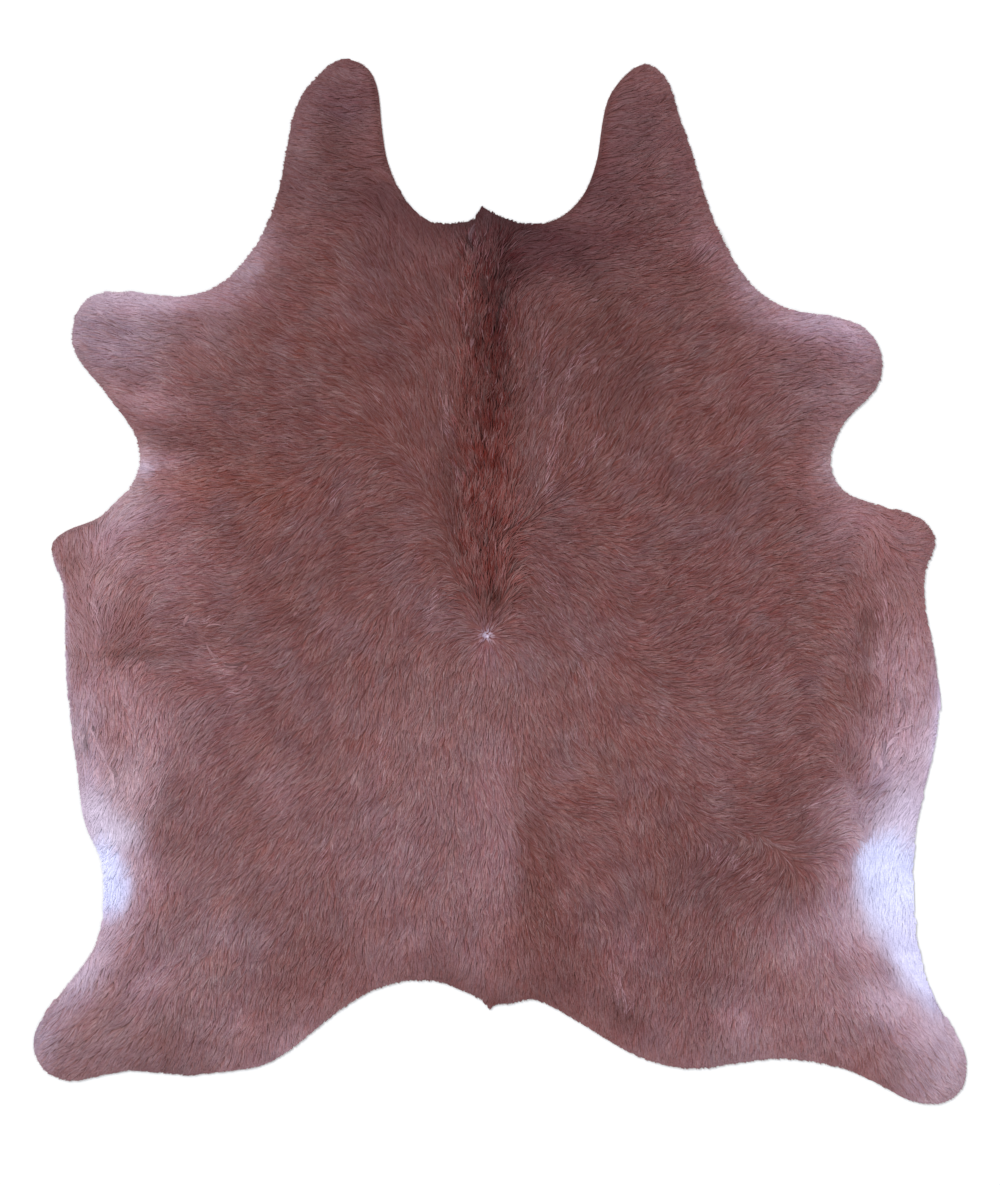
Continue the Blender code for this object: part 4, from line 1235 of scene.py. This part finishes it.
def skin_piece(materials):
    """The tanned skin: one closed sheet with a flat underside, lifted only in the folds."""
    edge = inset_ring(SKIN_INSET)
    rows = np.arange(-1.04, 1.05, SKIN_STEP * ROW_STEP)
    gx, gy = staggered(np.arange(-0.93, 0.94, SKIN_STEP), rows, SKIN_STEP)
    gx = gx + 0.25 * SKIN_STEP * fine(gx, gy)
    gy = gy + 0.25 * SKIN_STEP * middling(gy, gx)
    keep = inside_at.at(gx, gy) > SKIN_INSET + SKIN_STEP * 0.45
    flat = [Vector(p) for p in edge] + [Vector(p) for p in zip(gx[keep], gy[keep])]
    rim = len(edge)
    bounds = [(k, (k + 1) % rim) for k in range(rim)]
    found = delaunay_2d_cdt(flat, bounds, [], 1, DOUBLES)
    places = np.array([(p.x, p.y) for p in found[0]])
    triangles = [tuple(t) for t in found[2] if len(t) == 3]
    count = len(places)
    x, y = places.T
    under = lower_at.at(x, y)
    under = np.where(under < FLAT_BELOW, 0.0, under)
    thick = SKIN_THICKNESS * (1 + 0.08 * middling(x, y))
    sides = dict.fromkeys((t[k], t[(k + 1) % 3]) for t in triangles for k in range(3))
    walls = [side for side in sides if side[::-1] not in sides]
    faces = [t[::-1] for t in triangles]
    faces += [tuple(k + count for k in t) for t in triangles]
    faces += [(a, b, b + count, a + count) for a, b in walls]
    slots = np.repeat([0, 1, 2], [len(triangles), len(triangles), len(walls)]).astype(np.int32)
    mesh = bpy.data.meshes.new("hide_skin")
    both = np.concatenate([np.stack([x, y, under], 1), np.stack([x, y, under + thick], 1)])
    mesh.from_pydata(both.tolist(), [], faces)
    mesh.update()
    mesh.polygons.foreach_set("material_index", slots)
    mesh.shade_smooth()
    border = {(min(a, b), max(a, b)) for a, b in walls}
    border |= {(a + count, b + count) for a, b in border}
    sharp = mesh.attributes.new("sharp_edge", "BOOLEAN", "EDGE")
    sharp.data.foreach_set("value", np.array([tuple(sorted(e.vertices)) in border for e in mesh.edges]))
    colour = coat_colour(x, y)
    set_layer(mesh, "coat", "FLOAT_COLOR", coloured(np.concatenate([colour, colour]), 1))
    set_layer(mesh, "strand", "FLOAT_VECTOR", np.tile((0.5, 0.0, 0.5), (count * 2, 1)))
    corner = np.empty(len(mesh.loops), np.int32)
    mesh.loops.foreach_get("vertex_index", corner)
    shift = np.where(np.repeat(slots, [len(f) for f in faces]) == 0, 0.0, 0.5)
    corner = corner % count
    set_uv(mesh, (x[corner] + 0.95) / 1.9 * 0.5 + shift, (y[corner] + 1.06) / 2.12)
    for material in materials:
        mesh.materials.append(material)
    return add_object("hide_skin", mesh)


rng = np.random.default_rng(SEED)
solid_points, solid_faces = solid_of(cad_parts["hide"])
ring = cut_edge(solid_points, solid_faces)
inside_at = edge_field(ring)
upper_at, lower_at = heights(solid_points, solid_faces)
heading_c, heading_s = comb_field()
slope_y, slope_x = np.gradient(inside_at.values, inside_at.pitch)
inward_x = Field(EDGE_GRID, slope_x)
inward_y = Field(EDGE_GRID, slope_y)
broad, middling, fine = (waves(rng, size) for size in (0.07, 0.028, 0.012))
mottle_red, mottle_grey, mottle_light = (waves(rng, size) for size in (0.055, 0.062, 0.045))
lean_broad, lean_fine = (waves(rng, size) for size in (0.06, 0.018))
clumps = Clumps(rng)

# Each hair material's first colour is its painted root shade, the second its tip.
hair = hair_material("hair_on_hide", (1.10, 0.97, 0.94), (1.245, 1.27, 1.305), 0.56)
spine_hair = hair_material("hair_on_spine", (0.46, 0.34, 0.32), (1.35, 1.17, 1.17), 0.5)
bed = hair_material("hair_bed", (1.0, 0.93, 0.92), (1.0, 1.0, 1.0), 0.85)
suede = skin_material("flesh_side_suede", (0.44, 0.38, 0.33), (0.66, 0.60, 0.54), 420, 0.9, 0.0006)
fibres = skin_material("cut_edge_fibres", (0.30, 0.22, 0.18), (0.52, 0.43, 0.36), 700, 0.85, 0.0003)

skin = skin_piece((suede, bed, fibres))
hair_pieces = []
for coat in (UNDER, GUARD):
    x, y = grow_points(coat.pitch, rng)
    keep = (inside_at.at(x, y) > 0.004) & (spine_share(x, y) < rng.uniform(0.0005, 1, len(x)))
    x, y = x[keep], y[keep]
    for name, low, high in BANDS:
        own = (y >= low) & (y < high)
        made = short_coat(x[own], y[own], rng, coat)
        hair_pieces.append(hair_piece(f"{coat.name}_hair_{name}", made, SHORT_LOCK, hair))

x, y = grow_points(SPINE_PITCH, rng)
keep = (inside_at.at(x, y) > 0.005) & (spine_share(x, y) > rng.uniform(0, 1, len(x)))
hair_pieces.append(hair_piece("hair_spine", long_coat(x[keep], y[keep], rng), LONG_LOCK, spine_hair))
hair_pieces.append(hair_piece("hair_wisps", wisp_locks(rng), LONG_LOCK, hair))
hair_pieces.append(hair_piece("hair_rim", rim_locks(rng), ARCHED_LOCK, hair))

for piece in (skin, *hair_pieces):
    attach(piece, "root")
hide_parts("hide")

# The stage: a plain white floor, soft light from all round and one soft key from the upper left.
floor_mesh = bpy.data.meshes.new("floor")
corners = [(x * FLOOR_HALF, y * FLOOR_HALF, FLOOR_TOP) for x, y in ((-1, -1), (1, -1), (1, 1), (-1, 1))]
floor_mesh.from_pydata(corners, [], [(0, 1, 2, 3)])
floor = add_object("floor", floor_mesh)
plain = {"Base Color": FLOOR_COLOUR, "Roughness": 0.9, "Specular IOR Level": 0.1}
floor_mesh.materials.append(Shading("floor_white").done(plain))

world = bpy.data.worlds.new("studio")
world.use_nodes = True
sky = world.node_tree.nodes["Background"]
sky.inputs["Color"].default_value = SKY_COLOUR
sky.inputs["Strength"].default_value = SKY_STRENGTH
bpy.context.scene.world = world

key_data = bpy.data.lights.new("key", "SUN")
key_data.energy = KEY_STRENGTH
key_data.angle = KEY_ANGLE
key = add_object("key", key_data)
key.rotation_euler = Vector(KEY_DIRECTION).to_track_quat("-Z", "Y").to_euler()

# The camera looks straight down, high enough for the frame's height to be the photo's.
camera_data = bpy.data.cameras.new("camera")
camera_data.lens = LENS
camera_data.sensor_width = SENSOR
camera_data.clip_start = 0.05
camera_data.clip_end = 100
camera = add_object("camera", camera_data)
camera.location = (0, FRAME_MIDDLE, COAT_MIDDLE + FRAME_HIGH / 2 * LENS / (SENSOR / 2))
camera.rotation_euler = (0, 0, 0)
bpy.context.scene.camera = camera
bpy.context.scene.view_settings.view_transform = "Standard"
